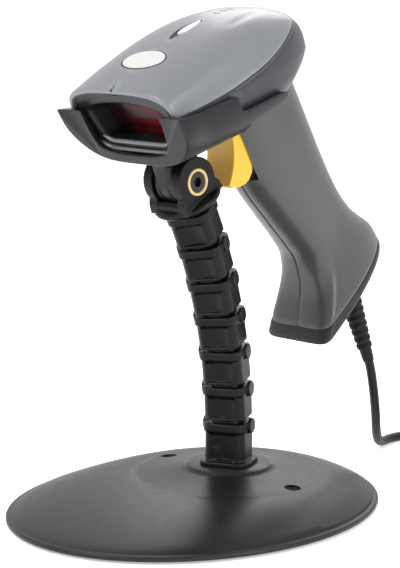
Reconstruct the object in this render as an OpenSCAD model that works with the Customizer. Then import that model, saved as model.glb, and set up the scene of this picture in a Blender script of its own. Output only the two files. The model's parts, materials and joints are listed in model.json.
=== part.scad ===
// Handheld barcode scanner in its hands-free gooseneck stand.
// Millimetres, +Z up. The origin is on the table, on the axis of the neck and midway
// between the two desk screw holes. The scanner looks towards -Y.

/* [Base] */
// Width of the oval base, side to side
base_w = 146; // [138:1:160]
// Length of the oval base, front to back
base_l = 175; // [165:1:190]
// How far the middle of the oval lies in front of the neck
base_shift = 21; // [12:1:26]
// Height of the hub that carries the neck
hub_h = 16.4; // [16:0.2:18]
// Distance between the two desk screw holes
desk_pitch = 76; // [72:1:80]
// Diameter of a desk screw hole
desk_hole_d = 4.6; // [4:0.2:5]

/* [Neck] */
// Distance from one ball joint to the next
link_pitch = 16.6; // [16:0.1:17.4]
// Width of a link, between its flat sides
link_w = 18.4; // [18:0.1:19]
// Depth of a link, front to back
link_d = 17.8; // [17.4:0.1:18.4]
// Radius of a link's ball
ball_r = 7.3; // [7:0.1:7.4]
// Bend of the first ball joint at rest, in degrees
first_bend = 2.7; // [0:0.1:5]
// Bend of every other ball joint at rest, in degrees
link_bend = 4.3; // [2:0.1:5]
// Turn of the neck about its own axis, in degrees
neck_turn = 24; // [0:1:45]

/* [Hinge] */
// Distance from the last ball joint to the tilt bolt
fork_reach = 15.5; // [15:0.1:17]
// Radius of the fork's two ears
ear_r = 10.6; // [10:0.1:11.5]
// Width of the knuckle between the ears
knuckle_w = 11.4; // [10.6:0.2:12]
// Diameter of the tilt bolt
bolt_d = 5; // [4:0.5:5]

/* [Scanner] */
// Nose-down tilt of the head in its cradle, in degrees
head_tilt = 16.5; // [10:0.5:22]
// Largest half width of the head
half_w = 33.5; // [32:0.5:35]
// Wall of the moulded shells
wall = 2.2; // [2:0.1:2.6]
// Half width of the trigger
trigger_half = 8.3; // [7.5:0.1:8.8]

/* [Cable] */
// Diameter of the cable
cable_d = 4.4; // [4.2:0.1:4.6]
// Radius of the middle turn of the stored coil
coil_r = 25; // [24:1:27]

/* [Hidden] */
$fn = 48;
clear = 0.06;              // radial clearance of a running fit
foot_h = 1;                // height of the rubber feet below the base
rim_h = 3.2;               // top of the rim of the base
dish_r = 42;               // radius of the shallow dish round the hub
dish_h = 12.2;             // height of the dish's edge
hub_r = 18.6;              // radius of the hub's flat top
shell_t = 2.4;             // wall of the base shell
spigot_r = 7.4;            // spigot of the neck foot in the hub
flange_t = 2.2;            // thickness of the neck foot's flange
first_joint_h = 34.3;      // height of the first ball joint
cup_gap = 0.08;            // clearance between a ball and its cup
pin_r = 1;                 // pins on which a ball swings in its cup
pin_gap = 0.08;            // clearance of such a pin in the ball's cross bore
cup_lip = 1.2;             // height of a cup's lip above the ball's middle
edge_h = 36.8;             // parting line of the head, above the tilt bolt
nose_s = -22.4;            // nose face at the parting line
nose_slope = 0.3;          // lean of the nose face
dome_power = 2.9;          // fullness of the cover's cross section, 2 is an ellipse
wide_s = 30;               // widest place of the head
tail_len = 47;             // from there to the tail
bolt_r = bolt_d / 2;
rest_bends = [first_bend, for (i = [1:6]) link_bend];

// Sum of the first n numbers of a list
function total(v, n) = n <= 0 ? 0 : v[n - 1] + total(v, n - 1);
// Lean of link k, where link 1 is the upright foot
function lean(k) = total(rest_bends, k - 1);
// Place of ball joint k in the mid-plane, [y, z]
function joint_at(k) = k == 1 ? [0, first_joint_h]
    : joint_at(k - 1) + link_pitch * [-sin(lean(k)), cos(lean(k))];
fork_lean = lean(8);
bolt_at = joint_at(7) + fork_reach * [-sin(fork_lean), cos(fork_lean)];

// Value at x of a smooth curve through points that are in order of their first number
function slope_at(p, i) = i == 0 ? (p[1][1] - p[0][1]) / (p[1][0] - p[0][0])
    : i == len(p) - 1 ? (p[i][1] - p[i - 1][1]) / (p[i][0] - p[i - 1][0])
    : (p[i + 1][1] - p[i - 1][1]) / (p[i + 1][0] - p[i - 1][0]);
function seat(p, x) = max([0, for (k = [0:len(p) - 2]) if (p[k][0] <= x) k]);
function blend3(a, b, ma, mb, w, t) = a * (2 * t * t * t - 3 * t * t + 1) + ma * w * (t * t * t - 2 * t * t + t)
    + b * (3 * t * t - 2 * t * t * t) + mb * w * (t * t * t - t * t);
function curve(p, x) = let (i = seat(p, x), w = p[i + 1][0] - p[i][0])
    blend3(p[i][1], p[i + 1][1], slope_at(p, i), slope_at(p, i + 1), w, (x - p[i][0]) / w);
function soft(v, n) = sign(v) * pow(abs(v), 2 / n);

// Head: half width and heights over its length s, measured from the tilt bolt
ridge = [[-34, 46.2], [-26, 48.9], [-14, 52.4], [0, 55.6], [14, 58.2], [28, 59.5], [42, 59.3],
    [54, 57.8], [64, 54.6], [71, 50], [75.5, 44.4], [77, 38.4]];
keel = [[-34, 18], [20, 18], [46, 19.8], [58, 25], [67, 29.6], [73, 32.6], [77, 35.6]];
function head_half(s) = s > wide_s
    ? half_w * pow(max(0, 1 - pow((s - wide_s) / tail_len, 2.2)), 1 / 2.2)
    : half_w - 2.5 * pow((wide_s - s) / (wide_s - nose_s), 2);
// Stations along the head, closer together towards the rounded tail
function head_stations(n, from, to) = [for (i = [0:n]) from + (to - from) * sin(90 * pow(i / n, 0.85))];
function dome_ring(s, inset, n) = [for (i = [0:n]) let (a = 180 * i / n)
    [(head_half(s) - inset) * soft(cos(a), dome_power), s,
        edge_h + (curve(ridge, s) - edge_h - inset) * soft(sin(a), dome_power)]];
function hull_ring(s, inset, depth_inset, top, n) = [for (i = [0:n]) let (a = -180 * i / n)
    [(head_half(s) - inset) * soft(cos(a), 3.4), s, top + (top - curve(keel, s) - depth_inset) * soft(sin(a), 3.4)]];

// Handle: front and rear of its mid-plane section, its half width, how far back its widest place lies
// and the squareness of its front, in order downwards
grip_front = [[24, 25], [29.4, 8], [35.4, -17], [44.4, -35], [53.2, -51], [58, -62], [57.2, -76], [47.8, -97]];
grip_rear = [[70, 27], [74.6, 8], [81, -17], [86.6, -35], [92.6, -46.5], [98.3, -53.4], [105.6, -61], [109.6, -69.8]];
grip_half = [16.5, 16.2, 15.8, 15.3, 15, 15.4, 16.8, 19.4];
grip_split = [0.5, 0.5, 0.5, 0.48, 0.44, 0.38, 0.3, 0.22];
grip_square = [2.3, 2.3, 2.3, 2.4, 2.6, 3, 4, 7];
function column(v, k) = [for (i = [0:len(v) - 1]) [i, v[i][k]]];
function indexed(v) = [for (i = [0:len(v) - 1]) [i, v[i]]];
function grip_point(v, t) = [curve(column(v, 0), t), curve(column(v, 1), t)];
function grip_ring(t, inset, n) = let (
    f = grip_point(grip_front, t), r = grip_point(grip_rear, t),
    u = (r - f) / norm(r - f), split = norm(r - f) * curve(indexed(grip_split), t), mid = f + u * split,
    square = curve(indexed(grip_square), t), side = curve(indexed(grip_half), t) - inset)
    [for (i = [0:n - 1]) let (a = 360 * (i + 0.5) / n, e = cos(a) > 0 ? square : 2.2,
        reach = (cos(a) > 0 ? split : norm(r - f) - split) - inset, k = mid - u * reach * soft(cos(a), e))
        [side * soft(sin(a), e), k[0], k[1]]];

// Solid skin through rings of points, with flat ends, or joined into a loop
function area_of(r, i = 1) = i > len(r) - 2 ? [0, 0, 0] : cross(r[i] - r[0], r[i + 1] - r[0]) + area_of(r, i + 1);
function sum_of(r, i = 0) = i == len(r) ? [0, 0, 0] : r[i] + sum_of(r, i + 1);
function backwards(r) = [for (i = [len(r) - 1:-1:0]) r[i]];
function faces_on(rings) = area_of(rings[0]) * (sum_of(rings[1]) - sum_of(rings[0])) > 0;
module loft(rings_in, loop = false) {
    rings = loop || faces_on(rings_in) ? rings_in : [for (r = rings_in) backwards(r)];
    n = len(rings[0]);
    m = len(rings);
    last = loop ? m - 1 : m - 2;
    sides = [for (j = [0:last], i = [0:n - 1]) let (k = (j + 1) % m)
        each [[j * n + i, k * n + (i + 1) % n, j * n + (i + 1) % n], [j * n + i, k * n + i, k * n + (i + 1) % n]]];
    ends = loop ? [] : [[for (i = [0:n - 1]) i], [for (i = [n - 1:-1:0]) (m - 1) * n + i]];
    polyhedron([for (r = rings) each r], concat(ends, sides), convexity = 6);
}

// Takes curved skins that are cut from each other as one mesh
module one_skin() {
    resize([0, 0, 0]) children();
}

// Frames of the moving assemblies
module in_link(k) {
    translate([0, joint_at(k - 1)[0], joint_at(k - 1)[1]]) rotate([lean(k), 0, 0]) children();
}
module in_fork() {
    translate([0, joint_at(7)[0], joint_at(7)[1]]) rotate([fork_lean, 0, 0]) children();
}
module in_head() {
    translate([0, bolt_at[0], bolt_at[1]]) rotate([head_tilt, 0, 0]) children();
}
// Cylinder along X between two places
module rod_x(r, from, to) {
    translate([from, 0, 0]) rotate([0, 90, 0]) cylinder(r = r, h = to - from);
}
// Side profile in the head's or link's mid-plane, given thickness to both sides
module slab_x(points, half) {
    rotate([90, 0, 90]) linear_extrude(2 * half, center = true) polygon(points);
}
// Everything behind the nose face moved back by d
function nose_at(h, d) = nose_s + nose_slope * (edge_h - h) + d;
module behind_nose(d) {
    slab_x([[nose_at(-60, d), -60], [160, -60], [160, 120], [nose_at(120, d), 120]], 60);
}
// Slice of the head between two planes parallel to the nose face
module nose_slice(from, to) {
    slab_x([[nose_at(0, from), 0], [nose_at(0, to), 0], [nose_at(80, to), 80], [nose_at(80, from), 80]], 60);
}
// Rounded rectangle as a list of points
function round_rect(w, h, r, n = 6) = [for (q = [0:3], i = [0:n]) let (a = 90 * q + 90 * i / n)
    [(q == 0 || q == 3 ? 1 : -1) * (w / 2 - r) + r * cos(a), (q < 2 ? 1 : -1) * (h / 2 - r) + r * sin(a)]];
module round_block(w, d, h, r) {
    linear_extrude(h) polygon(round_rect(w, d, r));
}
// Places of the four bosses that hold the bottom plate, and of the four feet
boss_at = [for (x = [-1, 1], p = [[-58, 7.6], [24, 9.8]]) [x * 40, p[0], p[1]]];
foot_at = [for (x = [-1, 1], y = [-1, 1]) [x * 40, -base_shift + y * 58]];
foot_screw_at = [[-4.6, 0], [4.6, 0]];

// Outline of the base: from the rim (f = 1) to the circle of the dish (f = 0)
function base_ring(f, inset, z, n = 64) = [for (i = [0:n - 1]) let (a = 360 * i / n)
    [(dish_r + (base_w / 2 - dish_r) * f - inset) * cos(a),
        (dish_r + (base_l / 2 - dish_r) * f - inset) * sin(a) - base_shift * f, z]];
function circle_ring(r, z, n = 64) = [for (i = [0:n - 1]) let (a = 360 * i / n) [r * cos(a), r * sin(a), z]];
function dome_h(f) = rim_h + (dish_h - rim_h) * (1 - pow(f, 1.7));
function dish_rise(r) = dish_h + (hub_h - 0.9 - dish_h) * pow((dish_r - r) / (dish_r - hub_r), 1.6);

module base_shell() color([0.16, 0.16, 0.17]) difference() {
    union() {
        loft(concat(
            [base_ring(1, 0, foot_h), base_ring(1, 0, rim_h - 0.4), base_ring(1, 0.6, rim_h)],
            [for (f = [0.86, 0.7, 0.5, 0.3, 0.12, 0]) base_ring(f, 0, dome_h(f))],
            [for (r = [39, 33, 26, hub_r + 0.6]) circle_ring(r, dish_rise(r))],
            [circle_ring(hub_r, hub_h), circle_ring(5, hub_h), circle_ring(5, hub_h - 4), circle_ring(hub_r - 1, hub_h - 4)],
            [for (r = [26, 36]) circle_ring(r, dish_rise(r) - shell_t)],
            [for (f = [0, 0.3, 0.6]) base_ring(f, 1, dome_h(f) - shell_t)],
            [base_ring(0.9, 1, rim_h - 0.6), base_ring(1, 2.4, rim_h - 1), base_ring(1, 2.4, foot_h)]), true);
        for (p = boss_at) translate([p[0], p[1], 2.2]) cylinder(r = 3.4, h = p[2] - 2.2);
    }
    translate([0, 0, hub_h - 5]) cylinder(r = spigot_r + 0.1, h = 8);
    for (x = [-1, 1]) translate([x * desk_pitch / 2, 0, -1]) cylinder(d = desk_hole_d, h = 30);
    for (x = [-1, 1]) translate([x * desk_pitch / 2, 0, dome_h(0) - 0.2]) cylinder(r = 3.6, h = 6);
    for (p = boss_at) translate([p[0], p[1], 2]) cylinder(r = 1.25, h = 3.6);
}

module base_weight() color([0.45, 0.45, 0.47]) difference() {
    union() {
        translate([0, -base_shift, 2.3]) linear_extrude(1.7) polygon([for (i = [0:63]) let (a = 360 * i / 64) [62 * cos(a), 70 * sin(a)]]);
        translate([0, -base_shift / 2, 4]) linear_extrude(3) polygon([for (i = [0:63]) let (a = 360 * i / 64) [40 * cos(a), 48 * sin(a)]]);
    }
    for (x = [-1, 1]) translate([x * desk_pitch / 2, 0, -1]) cylinder(r = 4.4, h = 30);
    for (p = boss_at) translate([p[0], p[1], 2]) cylinder(r = 4.2, h = 9);
    translate([0, 0, 2]) cylinder(r = 9.5, h = 9);
}

module base_bottom_plate() color([0.1, 0.1, 0.1]) difference() {
    translate([0, -base_shift, foot_h + 0.1]) linear_extrude(1)
        polygon([for (i = [0:71]) let (a = 360 * i / 72) [(base_w / 2 - 2.7) * cos(a), (base_l / 2 - 2.7) * sin(a)]]);
    for (x = [-1, 1]) translate([x * desk_pitch / 2, 0, -1]) cylinder(d = desk_hole_d, h = 6);
    for (p = boss_at) translate([p[0], p[1], 0]) cylinder(r = 1.6, h = 6);
    for (p = boss_at) translate([p[0], p[1], 0]) cylinder(r = 3.1, h = foot_h + 0.7);
    for (p = foot_at) translate([p[0], p[1], 0]) cylinder(r = 7.1, h = foot_h + 0.55);
    translate([0, 0, 0]) cylinder(r = 10, h = 6);
}

module rubber_feet() color([0.06, 0.06, 0.06]) for (p = foot_at) translate([p[0], p[1], 0]) rotate_extrude()
    polygon([[0, 0], [6.4, 0], [7, 0.5], [7, foot_h + 0.5], [0, foot_h + 0.5]]);

// Rings under the desk screw holes, which carry the base when it is screwed down
module desk_pads() color([0.06, 0.06, 0.06]) for (x = [-1, 1]) translate([x * desk_pitch / 2, 0, 0]) difference() {
    cylinder(r = 6.5, h = foot_h + 0.1);
    translate([0, 0, -1]) cylinder(d = desk_hole_d, h = 6);
}

module screw_up(head_r, head_h, shank_r, length) {
    cylinder(r = head_r, h = head_h);
    cylinder(r = shank_r, h = length);
}

module base_screws() color([0.7, 0.7, 0.72]) for (p = boss_at) translate([p[0], p[1], foot_h + 0.15]) difference() {
    screw_up(2.8, 0.5, 1.2, 4.4);
    translate([0, 0, -0.1]) cylinder(r = 1, h = 0.4, $fn = 6);
}

module neck_clamp_plate() color([0.5, 0.5, 0.52]) translate([0, 0, hub_h - 6.05]) difference() {
    cylinder(r = 11.5, h = 2);
    for (p = foot_screw_at) translate([p[0], p[1], -1]) cylinder(r = 1.25, h = 4);
}

module foot_screws() color([0.7, 0.7, 0.72]) for (p = foot_screw_at) translate([p[0], p[1], hub_h - 7.7]) difference() {
    screw_up(2.1, 1.6, 1.1, 8);
    translate([0, 0, -0.1]) cylinder(r = 1, h = 0.9, $fn = 6);
}

// Body of a link from its own ball up to the cup of the next joint, with the scooped front
module link_body(from, eared = true) {
    difference() {
        union() {
            translate([0, 0, from]) round_block(link_w, link_d, link_pitch + cup_lip - from, 4.6);
            translate([0, 0, link_pitch - 2.4]) round_block(link_w + 1.5, link_d + 1.5, 2.4 + cup_lip, 5.2);
            if (eared) for (x = [-1, 1]) translate([0, 0, link_pitch - 0.3]) link_ear(x);
        }
        translate([0, 0, link_pitch]) sphere(r = ball_r + cup_gap);
        translate([0, 0, from - 1]) cylinder(r = 4.2, h = 30);
        scoop(from);
    }
    for (x = [-1, 1]) cup_pin(x);
}
// Short pin in a cup's wall on which the ball above swings
module cup_pin(side) {
    translate([0, 0, link_pitch]) rotate([0, 0, -neck_turn]) rod_x(pin_r, min(side * 5.2, side * 8.4), max(side * 5.2, side * 8.4));
}
// Rounded ear at the side of a cup
module link_ear(side) {
    rod_x(3.4, min(side * (link_w / 2 + 0.45), side * (link_w / 2 + 2)), max(side * (link_w / 2 + 0.45), side * (link_w / 2 + 2)));
}
// Hollow in the front of a link, between its two side rails
module scoop(from) {
    translate([0, 0, from + 1]) intersection() {
        translate([0, -link_d / 2 - 11.2, 0]) cylinder(r = 13, h = link_pitch - from - 4.2);
        translate([-6.4, -link_d, 0]) cube([12.8, link_d, link_pitch - from - 4.2]);
    }
}
module neck_link(eared = true) {
    rotate([0, 0, neck_turn]) union() {
        difference() {
            sphere(r = ball_r);
            translate([0, 0, -ball_r - 1]) cylinder(r = 4.2, h = 30);
            translate([-10, -10, -20]) cube([20, 20, 20 - ball_r + 2.2]);
            rotate([0, 0, -neck_turn]) rod_x(pin_r + pin_gap, -10, 10);
        }
        difference() {
            translate([0, 0, 2]) cylinder(r = 6.6, h = 2);
            cylinder(r = 4.2, h = 30);
        }
        link_body(3.2, eared);
    }
}
module neck_foot() color([0.17, 0.17, 0.18]) rotate([0, 0, neck_turn]) {
    base = first_joint_h - link_pitch;
    difference() {
        union() {
            translate([0, 0, base]) link_body(hub_h + flange_t - 0.3 - base);
            translate([0, 0, hub_h]) round_block(link_w + 4.4, link_d + 4.4, flange_t, 6);
            translate([0, 0, hub_h - 4]) cylinder(r = spigot_r, h = 5);
            translate([-3.4, -link_d / 2 + 3.6, hub_h + 1]) cylinder(r = 2.9, h = 7.4);
        }
        rotate([0, 0, -neck_turn]) for (p = foot_screw_at) translate([p[0], p[1], hub_h - 5]) cylinder(r = 1.15, h = 6.2);
    }
}
module neck_link_2() color([0.17, 0.17, 0.18]) in_link(2) neck_link();
module neck_link_3() color([0.17, 0.17, 0.18]) in_link(3) neck_link();
module neck_link_4() color([0.17, 0.17, 0.18]) in_link(4) neck_link();
module neck_link_5() color([0.17, 0.17, 0.18]) in_link(5) neck_link();
module neck_link_6() color([0.17, 0.17, 0.18]) in_link(6) neck_link();
module neck_link_7() color([0.17, 0.17, 0.18]) in_link(7) neck_link(false);

// Fork: a ball, a dish above it and two ears for the tilt bolt
ear_in = knuckle_w / 2 + 0.4;
ear_out = ear_in + 4.8;
module fork() color([0.17, 0.17, 0.18]) in_fork() difference() {
    union() {
        sphere(r = ball_r);
        rotate_extrude() polygon([[0, 2], [6.6, 2], [6.6, 3.2], [11, 3.2], [14.2, 4.4], [15, 5.6], [14.4, 6.8], [11.6, 7.4], [0, 7.4]]);
        for (x = [-1, 1]) translate([x * (ear_in + ear_out) / 2, 0, 0]) fork_ear((ear_out - ear_in) / 2);
    }
    translate([0, 0, -20]) cylinder(r = 3, h = 24);
    rod_x(pin_r + pin_gap, -10, 10);
    translate([-10, -10, -20]) cube([20, 20, 20 - ball_r + 2.2]);
    translate([0, 0, fork_reach]) rod_x(bolt_r + 0.02, -20, 20);
    translate([0, 0, fork_reach]) rod_x(5.8, ear_out - 1.4, 30);
    translate([0, 0, fork_reach]) rod_x(4.7, ear_out - 3.6, 30);
    translate([0, 0, fork_reach]) rod_x(4.7, -30, -ear_out + 3.4);
    translate([-ear_in, -20, fork_reach - ear_r - 0.5]) cube([2 * ear_in, 40, 40]);
}
module fork_ear(half) {
    rotate([90, 0, 90]) translate([0, 0, -half]) linear_extrude(2 * half) union() {
        translate([0, fork_reach]) circle(r = ear_r);
        polygon([[-11.6, 4], [11.6, 4], [ear_r, fork_reach], [-ear_r, fork_reach]]);
    }
}
module hinge_ring() color([0.85, 0.72, 0.42]) in_fork() translate([0, 0, fork_reach]) difference() {
    rod_x(5.7, ear_out - 1.3, ear_out + 0.7);
    rod_x(4.5, 0, 30);
}
module hinge_bolt() color([0.12, 0.12, 0.12]) in_fork() translate([0, 0, fork_reach]) difference() {
    union() {
        rod_x(bolt_r, -ear_out + 0.4, ear_out - 3);
        rod_x(4.3, ear_out - 3.5, ear_out + 0.2);
    }
    translate([ear_out - 2, 0, 0]) rotate([0, 90, 0]) cylinder(r = 2.3, h = 5, $fn = 6);
}
module hinge_nut() color([0.6, 0.6, 0.62]) in_fork() translate([0, 0, fork_reach]) difference() {
    translate([-ear_out + 0.2, 0, 0]) rotate([0, 90, 0]) cylinder(r = 4.4, h = 3.1, $fn = 6);
    rod_x(bolt_r + 0.02, -30, 0);
}
module friction_washers() color([0.8, 0.8, 0.78]) in_head() for (x = [-1, 1]) difference() {
    rod_x(8, x * (knuckle_w / 2 + 0.17) - 0.17, x * (knuckle_w / 2 + 0.17) + 0.17);
    rod_x(bolt_r + clear, -20, 20);
}

// Cradle: a trough that follows the head, a rim in front of the nose and a knuckle below
cradle_top = 40;
module cradle_skin(grow, depth_grow, from, to) {
    loft([for (i = [0:16]) hull_ring(from + (to - from) * i / 16, -grow, -depth_grow, cradle_top, 28)]);
}
module cradle() color([0.2, 0.2, 0.21]) in_head() difference() {
    union() {
        one_skin() difference() {
            cradle_skin(3, 4, -36, 44);
            cradle_mask();
            intersection() {
                translate([0, 0, 1]) cradle_skin(0.4, 1.4, -37.6, 46);
                behind_nose(-0.7);
            }
            rotate([90, 0, 0]) linear_extrude(60) polygon([[-24.4, 60], [-22.2, 24], [-20.6, 20], [-17, 18.4],
                [17, 18.4], [20.6, 20], [22.2, 24], [24.4, 60]]);
        }
        difference() {
            union() {
                rod_x(9.4, -knuckle_w / 2, knuckle_w / 2);
                translate([-knuckle_w / 2, -9.4, 0]) cube([knuckle_w, 18.8, 16.2]);
            }
            rod_x(bolt_r + clear, -20, 20);
        }
    }
    rod_x(bolt_r + clear, -20, 20);
}
// What is cut from the trough: the front, the open rear floor and the space above the lobes
module cradle_mask() {
    slab_x([[-80, -20], [nose_at(-20, -3.4), -20], [nose_at(80, -3.4), 80], [-80, 80]], 60);
    slab_x([[17, -20], [60, -20], [60, 22.6], [18.6, 22.6], [17, 21]], 60);
    slab_x([[60, 22.6], [60, 28.4], [37.2, 28.4], [39.4, 27.3], [40.2, 25.5], [39.4, 23.7], [37.2, 22.6]], 60);
    slab_x([[-60, 60], [-60, 41.6], [-22, 38], [-12, 36.2], [9, 36.2], [9, 31], [11.6, 28.4], [60, 28.4], [60, 60]], 60);
}
module cradle_pads() color([0.1, 0.1, 0.1]) in_head() for (x = [-1, 1], s = [-8, 8])
    translate([x * 6.5 - 3.5, s - 2.5, 17.75]) cube([7, 5, 0.7]);

// Head shells
tail_s = wide_s + tail_len - 0.25;
module dome(inset, lift) {
    loft([for (s = head_stations(20, -34, tail_s - inset)) concat(dome_ring(s, inset, 24), [[0, s, edge_h - lift]])]);
}
module hull_solid(inset, top) {
    loft([for (s = head_stations(18, -34, tail_s - inset)) hull_ring(s, inset, inset, top, 24)]);
}
module top_cover() color([0.55, 0.57, 0.59]) in_head() difference() {
    one_skin() difference() {
        intersection() {
            dome(0, 3);
            behind_nose(0);
            translate([-60, -60, edge_h]) cube([120, 200, 60]);
        }
        translate([0, 0, -0.05]) dome(wall, 6);
        // recess of the light window and the three slots of the beeper
        translate([0, 23.6, 58]) linear_extrude(8) polygon(round_rect(6.6, 15, 3.2, 2));
        translate([0, 23.6, 50]) linear_extrude(12) polygon(round_rect(3.8, 13.2, 1.8, 2));
        for (k = [0:2]) translate([-2.25, 40.3 + 3.8 * k, 50]) cube([4.5, 1.4, 20]);
        // seat of the badge
        translate([0, -4.8, 53.9]) rotate([13, 0, 0]) linear_extrude(6)
            polygon([for (i = [0:23]) let (a = 15 * (i + 0.5)) [11.4 * cos(a), 7 * sin(a)]]);
    }
}
module head_lower_shell() color([0.2, 0.2, 0.21]) in_head() difference() {
    union() {
        one_skin() difference() {
            intersection() {
                hull_solid(0.7, edge_h - 0.1);
                behind_nose(0.28);
            }
            translate([0, 0, 0.05]) hull_solid(0.7 + wall, edge_h);
            // throat where the handle enters
            throat(0.37);
        }
        for (x = post_x) translate([x, post_s, 23.4]) cylinder(r = 2.6, h = 21.5);
    }
    for (x = post_x) translate([x, post_s, 30]) cylinder(r = 1.2, h = 20);
}
// Posts that carry the main board
post_x = [-20.5, 20.5];
post_s = 50;
// Space that the handle takes up in the floor of the head
module throat(gap) {
    loft([for (k = [-0.4:0.2:1.2]) [for (p = grip_ring(max(k, 0), -gap, 28)) [p[0], p[1], p[2] - min(k, 0) * 30]]]);
}

// Handle shells, split along the middle plane
cap_t = 6.72;
module grip_solid(inset, from, to, n = 18) {
    loft([for (i = [0:n]) grip_ring(from + (to - from) * i / n, inset, 28)]);
}
grip_walls = [-24, -46];
module grip_half(side) {
    difference() {
        one_skin() {
            grip_half_skin(side);
            // boss that carries the trigger's pin
            translate([0, pin_at[0], pin_at[1]]) rod_x(2.7, side > 0 ? 8.93 : -12.4, side > 0 ? 12.4 : -8.93);
        }
        translate([0, pin_at[0], pin_at[1]]) rod_x(1.5, -11.9, 11.9);
    }
}
module grip_half_skin(side) {
    difference() {
        intersection() {
            grip_solid(0, 0, cap_t);
            translate([side > 0 ? 0.02 : -60.02, -50, -150]) cube([60, 250, 300]);
        }
        difference() {
            grip_solid(wall, 0, cap_t + 0.03);
            // cross walls that hold the board
            for (h = grip_walls) translate([-40, 0, h]) cube([80, 200, 1.6]);
        }
        translate([-40, -50, 24]) cube([80, 200, 20]);
        trigger_pocket();
        for (h = grip_walls) board_slot(h);
    }
}
module trigger_pocket() {
    translate([-trigger_half - 0.5, 10, -13.6]) cube([2 * trigger_half + 1, 30, 26.2]);
    translate([-trigger_half - 0.5, 29, 0]) cube([2 * trigger_half + 1, 13, 60]);
}
module board_slot(h) {
    translate([-1.1, 30, h - 2]) cube([2.2, 49, 6]);
}
module handle_left() color([0.36, 0.37, 0.35]) in_head() grip_half(1);
module handle_right() color([0.36, 0.37, 0.35]) in_head() grip_half(-1);

// End cap of the handle with the hole of the cable's connector
end_front = grip_front[7];
end_rear = grip_rear[7];
end_mid = (end_front + end_rear) / 2;
end_tilt = atan2(end_rear[1] - end_front[1], end_rear[0] - end_front[0]);
exit_at = end_front + 0.63 * (end_rear - end_front);
// Frame at the cable's exit: its Z axis points up into the handle
module at_exit() {
    translate([0, exit_at[0], exit_at[1]]) rotate([end_tilt - boot_turn, 0, 0]) children();
}
boot_turn = 16.5;
module butt_cap() color([0.24, 0.24, 0.25]) in_head() difference() {
    one_skin() difference() {
        loft(concat([for (t = [cap_t + 0.02, 6.8, 6.92]) grip_ring(t, 0, 32)], [grip_ring(7, 1, 32)]));
        loft([for (t = [cap_t, 6.8]) grip_ring(t, wall, 28)]);
    }
    at_exit() translate([0, 0, -8]) cylinder(r = 5.1, h = 20);
}

// Nose: bezel with the window's opening, and the red window behind it
module window_cut(grow) {
    translate([0, 0, 0]) rotate([90, 0, 0]) linear_extrude(90) polygon([[-21 - grow, 26 - grow], [-18 - grow, 23.6 - grow],
        [18 + grow, 23.6 - grow], [21 + grow, 26 - grow], [24 + grow, 37], [21 + grow, 41.6 + grow], [8, 44.2 + grow],
        [-8, 44.2 + grow], [-21 - grow, 41.6 + grow], [-24 - grow, 37]]);
}
module bezel_outline(inset) {
    loft([for (s = [-34:4:6]) concat(
        [for (p = dome_ring(s, inset, 20)) p],
        [for (i = [1:19]) let (q = hull_ring(s, inset + 0.7, inset + 0.7, edge_h, 20)[20 - i]) q])]);
}
module nose_bezel() color([0.13, 0.13, 0.14]) in_head() one_skin() difference() {
    intersection() {
        bezel_outline(wall + 0.8);
        nose_slice(1.2, 5.2);
    }
    window_cut(0);
}
module scan_window() color([0.25, 0.02, 0.03]) in_head() one_skin() intersection() {
    window_cut(1.2);
    nose_slice(5.25, 6.8);
}

// Top details
module led_light_pipe() color([0.95, 0.95, 0.97]) in_head() translate([0, 23.6, 54]) union() {
    linear_extrude(5.6) polygon(round_rect(3.6, 13, 1.7, 2));
}
module badge() color([0.93, 0.93, 0.92]) in_head() translate([0, -4.8, 53.95]) rotate([13, 0, 0])
    linear_extrude(0.9) polygon([for (i = [0:39]) let (a = 9 * i) [11 * cos(a), 6.7 * sin(a)]]);

// Trigger, its pin, its torsion spring and the switch behind it
pin_at = [38, 15];
function arc3(a, b, sag, n) = [for (i = [0:n]) let (t = i / n, d = b - a) a + d * t + [d[1], -d[0]] / norm(d) * sag * 4 * t * (1 - t)];
module trigger() color([0.95, 0.68, 0.12]) in_head() difference() {
    union() {
        slab_x(concat(arc3([27.5, 11.5], [20, -9.6], -2, 8), [[21.4, -11.4], [24, -11.8], [30, -10.6], [32.2, -5], [33.4, 3], [34.5, 8], [36.4, 11.5]]), trigger_half);
        for (x = [-1, 1]) translate([0, pin_at[0], pin_at[1]]) rod_x(3.6, min(x * trigger_half, x * 5), max(x * trigger_half, x * 5));
        for (x = [-1, 1]) translate([x * (trigger_half + 5) / 2 - (trigger_half - 5) / 2, pin_at[0] - 3.6, 11]) cube([trigger_half - 5, 7.2, 4]);
    }
    translate([0, pin_at[0], pin_at[1]]) rod_x(1.5 + clear, -30, 30);
    translate([-4.9, 26, 4.6]) cube([9.8, 20, 20]);
}
module trigger_pin() color([0.75, 0.75, 0.77]) in_head() translate([0, pin_at[0], pin_at[1]]) rod_x(1.5, -11.8, 11.8);
module trigger_spring() color([0.7, 0.7, 0.72]) in_head() translate([0, pin_at[0], pin_at[1]]) union() {
    translate([-3.2, 0, 0]) rotate([0, 90, 0]) rotate_extrude($fn = 32)
        for (k = [0:7]) translate([2.3, 0.4 + 0.72 * k]) circle(r = 0.42, $fn = 16);
    translate([-2.8, -2.3, -9.8]) cylinder(r = 0.4, h = 9.8);
    translate([2.3, 2.3, 0]) cylinder(r = 0.4, h = 4);
}
module trigger_switch() color([0.15, 0.15, 0.6]) in_head() union() {
    translate([-4, 38.2, -8]) cube([8, 6, 12]);
    translate([-1.5, 35.5, -3]) cube([3, 2.8, 3]);
}

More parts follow.
